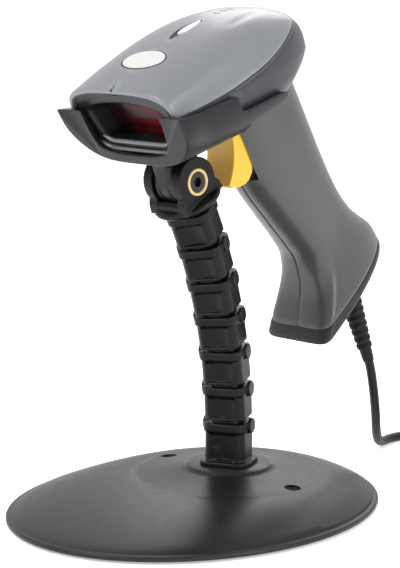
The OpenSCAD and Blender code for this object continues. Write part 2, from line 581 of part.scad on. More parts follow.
// Boards and optics inside the head and the handle
module main_board() color([0.1, 0.4, 0.2]) in_head() difference() {
    translate([-24, 20, 45]) cube([48, 34, 1.6]);
    for (x = post_x) translate([x, post_s, 40]) cylinder(r = 1.5, h = 10);
}
module handle_board() color([0.1, 0.4, 0.2]) in_head() union() {
    slab_x([[47.2, -4], [55, 0], [71.5, -58], [64, -60]], 0.8);
    slab_x([[56.5, -28], [61, -28], [65, -42], [60.5, -42]], 5);
}
module scan_engine() color([0.12, 0.12, 0.13]) in_head() difference() {
    union() {
        translate([-14, 2, 25]) cube([28, 30, 17]);
        translate([-12, 4, 21.9]) cube([24, 16, 4]);
    }
    translate([-9, -1, 27]) cube([18, 20, 13]);
    translate([0, 33, 33.5]) rotate([90, 0, 0]) cylinder(r = 5, h = 15);
}
module engine_lens() color([0.6, 0.7, 0.75]) in_head() translate([0, 30, 33.5]) rotate([90, 0, 0]) rotate_extrude()
    polygon([[0, -1.4], [2, -1.2], [4.9, 0], [4.9, 8], [3, 8.6], [0, 9.2]]);
module illumination_board() color([0.1, 0.4, 0.2]) in_head() difference() {
    translate([-20, -3, 24.5]) cube([40, 1.6, 17]);
    translate([-11, -5, 28]) cube([22, 6, 10]);
}
module fold_mirror() color([0.85, 0.87, 0.9]) in_head() translate([0, 12, 29.4]) rotate([24, 0, 0])
    translate([-8.5, -5, 0.4]) cube([17, 10, 1.2]);
module beeper() color([0.08, 0.08, 0.08]) in_head() translate([0, 44.8, 46.7]) difference() {
    cylinder(r = 6, h = 6.5);
    translate([0, 0, 4]) cylinder(r = 1.4, h = 5);
}
module housing_screws() color([0.7, 0.7, 0.72]) in_head() {
    for (x = post_x) translate([x, post_s, 47.9]) mirror([0, 0, 1]) screw_up(2.4, 1.2, 1.2, 8);
}

// Cable connector, strain relief and cable
boot_l = 48;
module cable_connector() color([0.8, 0.8, 0.8]) in_head() at_exit() translate([-4.8, -4, 12.2]) cube([9.6, 8, 16]);
module strain_relief_boot() color([0.1, 0.1, 0.11]) in_head() at_exit() difference() {
    rotate_extrude() union() {
        polygon([[0, 12], [4.6, 12], [4.6, 5.9], [4.9, 4], [4.9, 0], [4.6, -4], [3, -boot_l], [0, -boot_l]]);
        for (k = [0:8]) translate([0, -7 - 3.9 * k]) polygon([[0, 0], [5.3 - 0.2 * k, 0], [5.2 - 0.2 * k, -2.4], [0, -2.4]]);
    }
    translate([0, 0, -boot_l - 1]) cylinder(d = cable_d, h = 8);
}

// Cable: it hangs from the boot to the table, runs to the right and is stored as a coil
hang_points = [[0, 93.6, 50.9], [0, 95.5, 46.2], [0, 97.2, 40.3], [0, 98.6, 33.5], [-0.2, 100, 26.5],
    [-1, 101.8, 19.6], [-2.8, 104.4, 13.4], [-5.4, 108.4, 8], [-8.4, 113.4, 4.4], [-11, 119, 2.6], [-12.4, 124.8, 2.3]];
lead_points = [[-12.55, 129.0, 2.3], [-12.5, 132, 2.3], [-10.6, 137.4, 2.3], [-6, 143, 2.3], [0.6, 147.4, 2.3],
    [8.6, 150.4, 2.3], [17.6, 151.8, 2.4], [27, 152.4, 2.6], [36, 152.4, 2.8], [45, 152, 3]];
tail_points = [[91.6, 111, 3.2], [91.6, 107, 3.6], [91.6, 103, 4.2]];
coil_at = [60, 120];
coil_wide = 4 * cable_d;
coil_high = 3 * cable_d - 1.2;
tie_t = 0.6;
function unit(v) = v / norm(v);
function heading(p, i) = unit(p[min(i + 1, len(p) - 1)] - p[max(i - 1, 0)]);
// Round tube of radius r along a list of points
module tube(points, r, n = 10) {
    loft([for (i = [0:len(points) - 1])
        let (t = heading(points, i), u = unit(cross(t, [1, -1, 0])), v = cross(t, u))
            [for (k = [0:n - 1]) points[i] + r * (cos(360 * k / n) * u + sin(360 * k / n) * v)]]);
}
module cable_hanging() color([0.1, 0.1, 0.1]) tube(hang_points, cable_d / 2);
module cable_lead() color([0.1, 0.1, 0.1]) tube(lead_points, cable_d / 2);
module cable_coil() color([0.1, 0.1, 0.1]) {
    translate([coil_at[0], coil_at[1], tie_t]) rotate_extrude($fn = 72)
        translate([coil_r, coil_high / 2]) polygon(round_rect(coil_wide, coil_high, 2.2));
}
module cable_tie() color([0.85, 0.85, 0.85]) translate([coil_at[0], coil_at[1], 0]) rotate([0, 0, 20]) difference() {
    translate([coil_r - coil_wide / 2 - 0.8, -2, 0]) cube([coil_wide + 1.6, 4, coil_high + 2 * tie_t + 0.1]);
    translate([coil_r - coil_wide / 2 - 0.2, -3, tie_t - 0.02]) cube([coil_wide + 0.4, 6, coil_high + 0.06]);
}
module usb_plug() color([0.14, 0.14, 0.14]) union() {
    tube(tail_points, cable_d / 2);
    translate([91.6, 103, 4.2]) rotate([90, 0, 0]) rotate_extrude() polygon([[0, 0], [2.4, 0], [3.4, 7], [0, 7]]);
    translate([91.6, 96.2, 4.2]) rotate([90, 0, 0]) linear_extrude(22) polygon(round_rect(15.6, 8.2, 2.4));
}
module usb_contact_shell() color([0.75, 0.75, 0.77]) translate([91.6, 74.15, 4.2]) rotate([90, 0, 0]) difference() {
    translate([-6, -2.25, 0]) cube([12, 4.5, 12]);
    translate([-5.6, -1.85, 1]) cube([11.2, 1.7, 13]);
}

base_shell();
base_weight();
base_bottom_plate();
rubber_feet();
desk_pads();
base_screws();
neck_clamp_plate();
foot_screws();
neck_foot();
neck_link_2();
neck_link_3();
neck_link_4();
neck_link_5();
neck_link_6();
neck_link_7();
fork();
hinge_ring();
hinge_bolt();
hinge_nut();
friction_washers();
cradle();
cradle_pads();
top_cover();
head_lower_shell();
handle_left();
handle_right();
butt_cap();
nose_bezel();
scan_window();
led_light_pipe();
badge();
trigger();
trigger_pin();
trigger_spring();
trigger_switch();
main_board();
handle_board();
scan_engine();
engine_lens();
illumination_board();
fold_mirror();
beeper();
housing_screws();
cable_connector();
strain_relief_boot();
cable_hanging();
cable_lead();
cable_coil();
cable_tie();
usb_plug();
usb_contact_shell();
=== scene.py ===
import json
import math

import bmesh
import bpy
from mathutils import Matrix, Vector


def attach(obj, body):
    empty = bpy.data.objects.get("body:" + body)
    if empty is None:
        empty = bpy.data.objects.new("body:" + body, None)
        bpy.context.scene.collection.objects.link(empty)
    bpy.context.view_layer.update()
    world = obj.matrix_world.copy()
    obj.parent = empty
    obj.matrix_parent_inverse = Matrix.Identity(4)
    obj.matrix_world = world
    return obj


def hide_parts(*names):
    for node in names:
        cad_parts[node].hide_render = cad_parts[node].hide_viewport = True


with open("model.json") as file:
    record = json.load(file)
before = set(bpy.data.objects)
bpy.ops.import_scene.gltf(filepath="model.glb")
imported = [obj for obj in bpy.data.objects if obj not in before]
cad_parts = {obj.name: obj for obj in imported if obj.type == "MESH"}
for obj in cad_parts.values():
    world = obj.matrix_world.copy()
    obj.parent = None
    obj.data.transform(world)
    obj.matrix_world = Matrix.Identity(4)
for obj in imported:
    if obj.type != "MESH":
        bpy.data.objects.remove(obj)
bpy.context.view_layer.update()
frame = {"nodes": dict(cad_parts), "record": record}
nodes = frame["nodes"]
MM = 0.001
WORLD = Matrix.Scale(MM, 4)

# ---------------------------------------------------------------- frames, in millimetres
PITCH, REACH, TILT = 16.6, 15.5, 16.5
BENDS = [2.7] + [4.3] * 6


def lean(k):
    return sum(BENDS[: k - 1])


def joint_at(k):
    y, z = 0.0, 34.3
    for i in range(2, k + 1):
        y -= PITCH * math.sin(math.radians(lean(i)))
        z += PITCH * math.cos(math.radians(lean(i)))
    return y, z


def at(y, z, turn):
    return WORLD @ Matrix.Translation((0, y, z)) @ Matrix.Rotation(math.radians(turn), 4, "X")


FORK = at(*joint_at(7), lean(8))
BOLT = FORK @ Vector((0, 0, REACH)) / MM
HEAD = at(BOLT.y, BOLT.z, TILT)


# ---------------------------------------------------------------- camera
def make_camera():
    data = bpy.data.cameras.new("camera")
    data.lens, data.sensor_width = 122.03, 36
    data.dof.use_dof = False
    cam = bpy.data.objects.new("camera", data)
    bpy.context.collection.objects.link(cam)
    pitch, side = math.radians(9.637), math.sqrt(0.5)
    ahead = Vector((-side * math.cos(pitch), side * math.cos(pitch), -math.sin(pitch)))
    cam.location = (0.5738, -0.5918, 0.2361)
    cam.rotation_mode = "QUATERNION"
    cam.rotation_quaternion = ahead.to_track_quat("-Z", "Y")
    bpy.context.scene.camera = cam


make_camera()


# ---------------------------------------------------------------- small tools
def smooth_step(x, a, b):
    t = min(1, max(0, (x - a) / (b - a)))
    return t * t * (3 - 2 * t)


def curve(p, x):
    n = len(p)
    i = max([k for k in range(n - 1) if p[k][0] <= x], default=0)

    def slope(j):
        a, b = p[max(j - 1, 0)], p[min(j + 1, n - 1)]
        return (b[1] - a[1]) / (b[0] - a[0])

    w = p[i + 1][0] - p[i][0]
    t = (x - p[i][0]) / w
    return (p[i][1] * (2 * t**3 - 3 * t**2 + 1) + slope(i) * w * (t**3 - 2 * t**2 + t)
            + p[i + 1][1] * (3 * t**2 - 2 * t**3) + slope(i + 1) * w * (t**3 - t**2))


def soft(v, n):
    return math.copysign(abs(v) ** (2 / n), v)


def through(points, per):
    """Points along a smooth curve through the given ones, per steps between each two."""
    out = []
    n = len(points)
    for i in range(n - 1):
        p0, p1, p2, p3 = (Vector(points[min(max(j, 0), n - 1)]) for j in (i - 1, i, i + 1, i + 2))
        for k in range(per):
            t = k / per
            out.append(0.5 * (2 * p1 + (p2 - p0) * t + (2 * p0 - 5 * p1 + 4 * p2 - p3) * t**2
                              + (3 * p1 - p0 - 3 * p2 + p3) * t**3))
    return out + [Vector(points[-1])]


def new_object(name, points, faces, where=WORLD, sharp=40):
    mesh = bpy.data.meshes.new(name)
    mesh.from_pydata([where @ Vector(p) for p in points], [], faces)
    bm = bmesh.new()
    bm.from_mesh(mesh)
    bmesh.ops.remove_doubles(bm, verts=bm.verts, dist=1e-7)
    bmesh.ops.dissolve_degenerate(bm, edges=bm.edges, dist=1e-8)
    bmesh.ops.recalc_face_normals(bm, faces=bm.faces)
    bm.to_mesh(mesh)
    bm.free()
    obj = bpy.data.objects.new(name, mesh)
    bpy.context.collection.objects.link(obj)
    shade(obj, sharp)
    return obj


def shade(obj, sharp=40):
    obj.data.polygons.foreach_set("use_smooth", [True] * len(obj.data.polygons))
    obj.data.set_sharp_from_angle(angle=math.radians(sharp))


def loft(name, rings, where=WORLD, loop=False, sharp=40):
    n, m = len(rings[0]), len(rings)
    faces = []
    for j in range(m if loop else m - 1):
        k = (j + 1) % m
        for i in range(n):
            faces.append([j * n + i, j * n + (i + 1) % n, k * n + (i + 1) % n, k * n + i])
    if not loop:
        faces += [list(range(n)), [(m - 1) * n + i for i in reversed(range(n))]]
    return new_object(name, [p for r in rings for p in r], faces, where, sharp)


def prism(name, outline, low, high, axis="z", where=WORLD):
    """Outline in a plane, given thickness along an axis."""
    def put(p, t):
        return {"z": (p[0], p[1], t), "x": (t, p[0], p[1]), "y": (p[0], t, p[1])}[axis]
    return loft(name, [[put(p, low) for p in outline], [put(p, high) for p in outline]], where)


def turned(name, profile, where=WORLD, n=64, axis="z", sharp=40):
    """Profile of (radius, height) turned about an axis."""
    rings = []
    for r, h in profile:
        ring = []
        for i in range(n):
            a = 2 * math.pi * i / n
            u, v = r * math.cos(a), r * math.sin(a)
            ring.append({"z": (u, v, h), "x": (h, u, v), "y": (u, h, v)}[axis])
        rings.append(ring)
    return loft(name, rings, where, sharp=sharp)


def bake(obj, sharp=40):
    graph = bpy.context.evaluated_depsgraph_get()
    mesh = bpy.data.meshes.new_from_object(obj.evaluated_get(graph))
    old = obj.data
    obj.modifiers.clear()
    obj.data = mesh
    mesh.name = obj.name
    bpy.data.meshes.remove(old)
    shade(obj, sharp)


def drop(obj):
    mesh = obj.data
    bpy.data.objects.remove(obj)
    bpy.data.meshes.remove(mesh)


def cut(obj, *tools, how="DIFFERENCE", sharp=40):
    for t in tools:
        m = obj.modifiers.new("cut", "BOOLEAN")
        m.operation, m.object, m.solver = how, t, "EXACT"
    bake(obj, sharp)
    for t in tools:
        drop(t)


def melt(obj, voxel, times):
    """Remeshes at voxel millimetres and rounds the edges off."""
    m = obj.modifiers.new("voxels", "REMESH")
    m.mode, m.voxel_size = "VOXEL", voxel * MM
    m = obj.modifiers.new("soften", "SMOOTH")
    m.iterations, m.factor = times, 0.5
    bake(obj, 60)


def join(name, *parts):
    bm = bmesh.new()
    for p in parts:
        bm.from_mesh(p.data)
    mesh = bpy.data.meshes.new(name)
    bm.to_mesh(mesh)
    bm.free()
    for p in parts:
        drop(p)
    obj = bpy.data.objects.new(name, mesh)
    bpy.context.collection.objects.link(obj)
    shade(obj)
    return obj


def rounded_copy(node, name, voxel, times):
    obj = bpy.data.objects.new(name, nodes[node].data.copy())
    bpy.context.collection.objects.link(obj)
    obj.data.materials.clear()
    melt(obj, voxel, times)
    return obj


# ---------------------------------------------------------------- materials
def finish_of(name, colour, rough=0.5, grain=1500, bump=0.25, mottle=0.05, edge_wear_and_highlight=0.0, coat=0.0, metal=0.0,
              depth=0.00006, light=None, streaks=0.0, gloss=0.5):
    mat = bpy.data.materials.new(name)
    mat.use_nodes = True
    tree = mat.node_tree
    add, link = tree.nodes.new, tree.links.new
    shader = tree.nodes["Principled BSDF"]
    shader.inputs["Metallic"].default_value = metal
    shader.inputs["Specular IOR Level"].default_value = gloss
    shader.inputs["Coat Weight"].default_value = coat
    shader.inputs["Coat Roughness"].default_value = 0.18
    where = add("ShaderNodeTexCoord")

    def noise(scale, detail, stretch=None):
        n = add("ShaderNodeTexNoise")
        n.inputs["Scale"].default_value = scale
        n.inputs["Detail"].default_value = detail
        if stretch:
            m = add("ShaderNodeMapping")
            m.inputs["Scale"].default_value = stretch
            link(where.outputs["Object"], m.inputs["Vector"])
            link(m.outputs["Vector"], n.inputs["Vector"])
        else:
            link(where.outputs["Object"], n.inputs["Vector"])
        return n

    fine = noise(grain, 4)
    cloud = noise(38, 3)
    ramp = add("ShaderNodeValToRGB")
    low, high = ramp.color_ramp.elements
    low.position, high.position = 0.3, 0.7
    low.color = [c * (1 - mottle) for c in colour] + [1]
    high.color = [min(1, c * (1 + mottle)) for c in colour] + [1]
    link(cloud.outputs["Fac"], ramp.inputs["Fac"])
    last = ramp.outputs["Color"]
    # Edge wear and painted edge highlight: pointy edges are mixed towards a lighter copy of the colour.
    if edge_wear_and_highlight:
        shape = add("ShaderNodeNewGeometry")
        edge = add("ShaderNodeValToRGB")
        edge.color_ramp.elements[0].position = 0.505
        edge.color_ramp.elements[1].position = 0.56
        edge.color_ramp.elements[1].color = (edge_wear_and_highlight, edge_wear_and_highlight, edge_wear_and_highlight, 1)
        link(shape.outputs["Pointiness"], edge.inputs["Fac"])
        mix = add("ShaderNodeMix")
        mix.data_type = "RGBA"
        mix.inputs[7].default_value = [min(1, c * 1.8 + 0.02) for c in colour] + [1]
        link(edge.outputs["Color"], mix.inputs[0])
        link(last, mix.inputs[6])
        last = mix.outputs[2]
    link(last, shader.inputs["Base Color"])
    spread = add("ShaderNodeMapRange")
    spread.inputs["To Min"].default_value = max(0.04, rough - 0.05)
    spread.inputs["To Max"].default_value = min(1, rough + 0.07)
    patch = noise(210, 5, (1, 1, 0.15) if streaks else None)
    link(patch.outputs["Fac"], spread.inputs["Value"])
    link(spread.outputs["Result"], shader.inputs["Roughness"])
    relief = add("ShaderNodeBump")
    relief.inputs["Strength"].default_value = bump
    relief.inputs["Distance"].default_value = depth
    link(fine.outputs["Fac"], relief.inputs["Height"])
    link(relief.outputs["Normal"], shader.inputs["Normal"])
    if light:
        shader.inputs["Emission Color"].default_value = (*light[0], 1)
        shader.inputs["Emission Strength"].default_value = light[1]
    return mat


def glow_window():
    """Dark red filter whose inside is lit towards one end."""
    mat = finish_of("red_filter", (0.008, 0.0015, 0.002), 0.22, 900, 0.05, 0.2, gloss=0.22)
    tree = mat.node_tree
    add, link = tree.nodes.new, tree.links.new
    where = add("ShaderNodeTexCoord")
    axes = add("ShaderNodeSeparateXYZ")
    side = add("ShaderNodeMapRange")
    side.inputs["From Min"].default_value = -0.012
    side.inputs["From Max"].default_value = 0.022
    ramp = add("ShaderNodeValToRGB")
    ramp.color_ramp.elements[0].color = (0.0, 0.0, 0.0, 1)
    ramp.color_ramp.elements[1].color = (0.16, 0.006, 0.008, 1)
    bands = add("ShaderNodeTexWave")
    bands.bands_direction = "Z"
    bands.inputs["Scale"].default_value = 60
    bands.inputs["Distortion"].default_value = 2
    both = add("ShaderNodeMix")
    both.data_type = "RGBA"
    both.blend_type = "MULTIPLY"
    both.inputs[0].default_value = 0.65
    link(where.outputs["Object"], axes.inputs["Vector"])
    link(axes.outputs["X"], side.inputs["Value"])
    link(side.outputs["Result"], ramp.inputs["Fac"])
    link(where.outputs["Object"], bands.inputs["Vector"])
    link(ramp.outputs["Color"], both.inputs[6])
    link(bands.outputs["Color"], both.inputs[7])
    shader = tree.nodes["Principled BSDF"]
    link(both.outputs[2], shader.inputs["Emission Color"])
    shader.inputs["Emission Strength"].default_value = 1.0
    return mat


MATS = {
    "base_plastic": finish_of("base_satin", (0.0062, 0.0065, 0.0072), 0.38, 1300, 0.30, 0.08, edge_wear_and_highlight=0.5,
                              gloss=0.30),
    "neck_plastic": finish_of("neck_satin", (0.0040, 0.0042, 0.0048), 0.32, 1500, 0.22, 0.08, edge_wear_and_highlight=0.7,
                              gloss=0.2),
    "cradle_plastic": finish_of("cradle_satin", (0.0088, 0.009, 0.0112), 0.36, 1700, 0.28, 0.06, edge_wear_and_highlight=0.5,
                                gloss=0.28),
    "cover_grey": finish_of("cover_semi_gloss", (0.175, 0.182, 0.198), 0.34, 2100, 0.12, 0.03, edge_wear_and_highlight=0.25,
                            coat=0.15),
    "head_dark": finish_of("band_satin", (0.034, 0.036, 0.043), 0.40, 1700, 0.25, 0.05, edge_wear_and_highlight=0.35, gloss=0.5),
    "handle_grey": finish_of("handle_satin", (0.060, 0.063, 0.060), 0.31, 1600, 0.20, 0.05, edge_wear_and_highlight=0.25,
                             coat=0.15),
    "cap_dark": finish_of("cap_satin", (0.018, 0.0185, 0.021), 0.42, 1600, 0.28, 0.05, edge_wear_and_highlight=0.35, gloss=0.4),
    "bezel_dark": finish_of("bezel_satin", (0.0055, 0.0058, 0.0075), 0.32, 1500, 0.20, 0.06, edge_wear_and_highlight=0.4,
                            gloss=0.25),
    "window_red": glow_window(),
    "light_white": finish_of("light_guide", (0.75, 0.76, 0.78), 0.22, 700, 0.05, 0.01, coat=0.3),
    "badge_white": finish_of("badge_gloss", (0.62, 0.62, 0.60), 0.24, 900, 0.06, 0.02, coat=0.3),
    "trigger_orange": finish_of("trigger_yellow", (0.86, 0.47, 0.03), 0.30, 1500, 0.12, 0.04, edge_wear_and_highlight=0.2,
                                coat=0.2),
    "steel": finish_of("plated_steel", (0.62, 0.62, 0.63), 0.28, 2500, 0.15, 0.06, metal=1.0, streaks=1),
    "bolt_black": finish_of("black_oxide", (0.008, 0.008, 0.009), 0.40, 1800, 0.2, 0.1, edge_wear_and_highlight=0.6, gloss=0.3),
    "ballast": finish_of("zinc_plate", (0.42, 0.43, 0.45), 0.45, 1100, 0.35, 0.15, metal=1.0),
    "rubber_black": finish_of("soft_rubber", (0.0085, 0.0085, 0.009), 0.60, 1100, 0.45, 0.1, gloss=0.3),
    "ring_cream": finish_of("cream_nylon", (0.60, 0.42, 0.16), 0.38, 1400, 0.2, 0.08, edge_wear_and_highlight=0.3, coat=0.1),
    "washer_nylon": finish_of("white_nylon", (0.72, 0.72, 0.68), 0.45, 1400, 0.2, 0.05),
    "board_green": finish_of("solder_mask", (0.02, 0.17, 0.06), 0.32, 900, 0.25, 0.15, coat=0.3),
    "engine_black": finish_of("engine_black", (0.022, 0.022, 0.024), 0.5, 1500, 0.3, 0.08),
    "lens_glass": finish_of("coated_lens", (0.10, 0.12, 0.20), 0.06, 500, 0.02, 0.05, coat=1.0),
    "mirror": finish_of("silvered", (0.88, 0.90, 0.92), 0.05, 400, 0.01, 0.02, metal=1.0),
    "part_black": finish_of("moulded_black", (0.025, 0.025, 0.028), 0.5, 1300, 0.3, 0.08, edge_wear_and_highlight=0.3),
    "connector_white": finish_of("nylon_body", (0.72, 0.71, 0.68), 0.45, 1200, 0.25, 0.05),
    "cable_black": finish_of("cable_jacket", (0.0095, 0.0095, 0.0105), 0.42, 1900, 0.25, 0.08, gloss=0.35),
    "tie_black": finish_of("tie_plastic", (0.04, 0.04, 0.042), 0.42, 1400, 0.3, 0.08, edge_wear_and_highlight=0.4),
}
# Deeper orange copy of the trigger colour, a painted shade for the faces turned front and down.
SHADED_ORANGE = finish_of("trigger_orange_painted_shade", (0.95, 0.40, 0.02), 0.32, 1500, 0.12, 0.05, edge_wear_and_highlight=0.1, coat=0.3)
# Lighter grey for the bars under the mouth, a painted highlight of their upward-facing rims.
LIP_HIGHLIGHT = finish_of("lip_painted_highlight", (0.13, 0.13, 0.14), 0.30, 1500, 0.12, 0.04, coat=0.3)

for row in frame["record"]["subparts"]:
    if row["node"] in nodes:
        mesh = nodes[row["node"]].data
        mesh.materials.clear()
        mesh.materials.append(MATS[row["material_slot"]])


def dress(obj, slot, body, *replaced, mats=None):
    """Gives a piece its material, its body and the CAD nodes that it stands for."""
    obj.data.materials.clear()
    for m in mats or [MATS[slot]]:
        obj.data.materials.append(m)
    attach(obj, body)
    if replaced:
        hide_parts(*replaced)
    return obj

# ---------------------------------------------------------------- cords: the free cable, and what is on it
CABLE_D = 4.4
HANG = [(0, 93.6, 50.9), (0, 95.5, 46.2), (0, 97.2, 40.3), (0, 98.6, 33.5), (-0.2, 100, 26.5),
        (-1, 101.8, 19.6), (-2.8, 104.4, 13.4), (-5.4, 108.4, 8), (-8.4, 113.4, 4.4), (-11, 119, 2.6),
        (-12.4, 124.8, 2.3)]
LEAD = [(-12.42, 124.86, 2.3), (-12.6, 131, 2.3), (-10.6, 137.4, 2.3), (-6, 143, 2.3), (0.6, 147.4, 2.3),
        (8.6, 150.4, 2.3), (17.6, 151.8, 2.4), (27, 152.4, 2.6), (36, 152.4, 2.8)]
PLUG_AT = Vector((91.6, 103, 4.2))


def tube_curve(name, points):
    data = bpy.data.curves.new(name, "CURVE")
    data.dimensions = "3D"
    data.bevel_depth = CABLE_D / 2 * MM
    data.bevel_resolution = 5
    data.use_fill_caps = True
    line = data.splines.new("POLY")
    line.points.add(len(points) - 1)
    for p, q in zip(line.points, points):
        p.co = (*(Vector(q) * MM), 1)
    line.use_smooth = True
    obj = bpy.data.objects.new(name, data)
    bpy.context.collection.objects.link(obj)
    return obj


def coil_route():
    """Eleven turns in three layers, wound clockwise, and the end laid over them and down to the plug."""
    keys = []
    angle = 75.0

    def turn(r, z):
        nonlocal angle
        keys.append((angle, r, z))
        keys.append((angle - 160, r, z))
        keys.append((angle - 320, r, z))
        angle -= 360

    keys.append((115, 35.3, 2.9))
    keys.append((95, 33.0, 2.9))
    for r in (31.6, 27.2, 22.8, 18.4):
        turn(r, 2.8)
    keys.append((angle + 20, 16.9, 5.0))
    for r in (20.6, 25.0, 29.4):
        turn(r, 6.6)
    keys.append((angle + 28, 32.8, 7.2))
    keys.append((angle + 14, 33.4, 8.9))
    for r in (31.6, 27.2, 22.8, 18.4):
        turn(r, 10.4)
    keys.append((angle + 20, 17.2, 13.0))
    keys += [(angle, 18.4, 14.8), (angle - 60, 20.6, 14.9), (angle - 130, 25.6, 15.0),
             (angle - 190, 30.4, 14.9), (angle - 225, 33.4, 14.4), (angle - 255, 35.6, 12.7),
             (angle - 285, 36.4, 9.4), (angle - 315, 36.6, 5.6), (angle - 340, 36.6, 3.0),
             (angle - 360, 36.5, 2.5)]
    end = angle - 360
    keys += [(end - 40, 36.4, 2.4), (end - 72, 36.3, 2.6)]
    out = []
    for (a0, r0, z0), (a1, r1, z1) in zip(keys, keys[1:]):
        steps = max(1, round((a0 - a1) / 10))
        for k in range(steps):
            t = k / steps
            s = t * t * (3 - 2 * t) if (r0, z0) != (r1, z1) else t
            out.append((a0 + (a1 - a0) * t, r0 + (r1 - r0) * s, z0 + (z1 - z0) * s))
    out.append(keys[-1])
    return [Vector((60 + r * math.cos(math.radians(a)), 120 + r * math.sin(math.radians(a)), z))
            for a, r, z in out]


def relax(points, times):
    """Evens out the small corners of a route, with its ends held."""
    pts = [p.copy() for p in points]
    for _ in range(times):
        inner = [pts[i] * 0.5 + (pts[i - 1] + pts[i + 1]) * 0.25 for i in range(1, len(pts) - 1)]
        pts = [pts[0]] + inner + [pts[-1]]
    return pts


hang_line = through(HANG, 3)
coil_line = coil_route()
entry = through(LEAD + [tuple(coil_line[0])], 3)
store_line = relax(entry[:-1] + coil_line + [PLUG_AT + Vector((1.0, 5.4, -1.0)), PLUG_AT], 2)
hanging = tube_curve("cable_hanging_jacket", hang_line)
stored = tube_curve("cable_stored_jacket", store_line)


def plug_body():
    def section(w, h, y, r=2.4):
        ring = []
        for i in range(40):
            a = 2 * math.pi * (i + 0.5) / 40
            ring.append((PLUG_AT.x + w / 2 * soft(math.cos(a), 5), y,
                         PLUG_AT.z + h / 2 * soft(math.sin(a), 4)))
        return ring
    rings = [section(4.9, 4.9, 103.2), section(5.4, 5.4, 102.8)]
    for k in range(4):
        y = 102 - 1.6 * k
        rings += [section(6.2 + k, 5.6 + 0.3 * k, y), section(6.2 + k, 5.6 + 0.3 * k, y - 0.8),
                  section(5.2 + k, 4.9 + 0.3 * k, y - 0.9), section(5.2 + k, 4.9 + 0.3 * k, y - 1.5)]
    rings += [section(13.6, 7.4, 95.4), section(15.2, 8.0, 94.4), section(15.7, 8.2, 92),
              section(15.2, 7.9, 88)]
    for k in range(5):
        y = 87.4 - 1.5 * k
        rings += [section(15.2, 7.9, y), section(14.7, 7.4, y - 0.25), section(14.7, 7.4, y - 0.8),
                  section(15.2, 7.9, y - 1.05)]
    rings += [section(15.6, 8.1, 79), section(15.6, 8.1, 75.2), section(15.0, 7.6, 74.4),
              section(14.0, 6.8, 74.2)]
    return loft("usb_plug_grip", rings, sharp=50)


def tie_band():
    """Flat band round the bundle of turns, with its square lock."""
    turn = WORLD @ Matrix.Translation((60, 120, 0)) @ Matrix.Rotation(math.radians(20), 4, "Z")
    rings = []
    for y in (-2.0, -1.7, 1.7, 2.0):
        edge = 0.12 if abs(y) > 1.9 else 0
        outer = [(25 + (9.9 - edge) * soft(math.cos(a), 5), y, 6.75 + (6.55 - edge) * soft(math.sin(a), 5))
                 for a in [2 * math.pi * (i + 0.5) / 64 for i in range(64)]]
        rings.append(outer)
    inner = [[(25 + (p[0] - 25) * 0.93, p[1], 6.75 + (p[2] - 6.75) * 0.92) for p in r]
             for r in reversed(rings)]
    band = loft("cable_tie_band", rings + inner, turn, loop=True, sharp=50)
    lock = loft("lock", [[(33.9 + d, y, 6.6 + h) for y, h in ((-3, -2.6), (3, -2.6), (3, 2.6), (-3, 2.6))]
                         for d in (0.6, 1.5)], turn)
    nib = loft("nib", [[(33.9 + d, y, 6.6 + h)
                        for y, h in ((-1.9, -0.8), (1.9, -0.8), (1.9, 0.8), (-1.9, 0.8))]
                       for d in (0.7, 2.1)], turn)
    return join("cable_tie_band_and_lock", band, lock, nib)


plug = dress(plug_body(), "cable_black", "stand_base", "usb_plug")
tie = dress(tie_band(), "tie_black", "stand_base", "cable_tie")
dress(hanging, "cable_black", "scanner", "cable_hanging")
dress(stored, "cable_black", "stand_base", "cable_lead", "cable_coil")

# ---------------------------------------------------------------- head of the scanner
EDGE, NOSE, SLOPE = 36.8, -22.4, 0.3
RIDGE = [(-34, 46.2), (-26, 48.9), (-14, 52.4), (0, 55.6), (14, 58.2), (28, 59.6), (42, 59.6), (54, 58.0),
         (64, 54.6), (71, 50), (75.5, 44.4), (77, 38.4)]
KEEL = [(-34, 18), (20, 18), (46, 19.8), (58, 25), (67, 29.6), (73, 32.6), (77, 35.6)]
SEAM = [(-34, 36.8), (-10, 36.8), (0, 37.3), (10, 38.2), (20, 39.8), (30, 41.8), (40, 44.6), (50, 47.6),
        (60, 49.8), (68, 50.4), (72, 50.0)]
TAIL_S = 76.7
FULL = 2.9


def head_half(s):
    if s > 30:
        return 33.5 * max(0.0, 1 - min(1, (s - 30) / 47) ** 2.2) ** (1 / 2.2)
    return 33.5 - 2.5 * ((30 - s) / 52.4) ** 2


def dome_height(x, s):
    half = max(head_half(s), 0.01)
    return EDGE + (curve(RIDGE, s) - EDGE) * max(0.0, 1 - min(1, abs(x) / half) ** FULL) ** (1 / FULL)


def crease(x, s):
    """Depth of the soft hollow that runs along the rear shoulders."""
    track = 17.5 - 0.12 * (s - 30)
    return (0.45 * math.exp(-(((abs(x) - track) / 2.6) ** 2)) * smooth_step(s, 24, 36)
            * (1 - smooth_step(s, 56, 68)))


def upper(sc, a, inset, lean_back=1.0):
    """Point of the upper surface at station sc and angle a; the front stations lie in the nose plane."""
    k = SLOPE * (1 - smooth_step(sc, NOSE, 24)) * lean_back
    s = sc
    for _ in range(2):
        h = EDGE + (curve(RIDGE, s) - EDGE - inset) * soft(math.sin(math.radians(a)), FULL)
        s = sc + k * (EDGE - h)
    x = (head_half(s) - inset) * soft(math.cos(math.radians(a)), FULL)
    return Vector((x, s, h - crease(x, s) * (1 if inset < 1 else 0)))


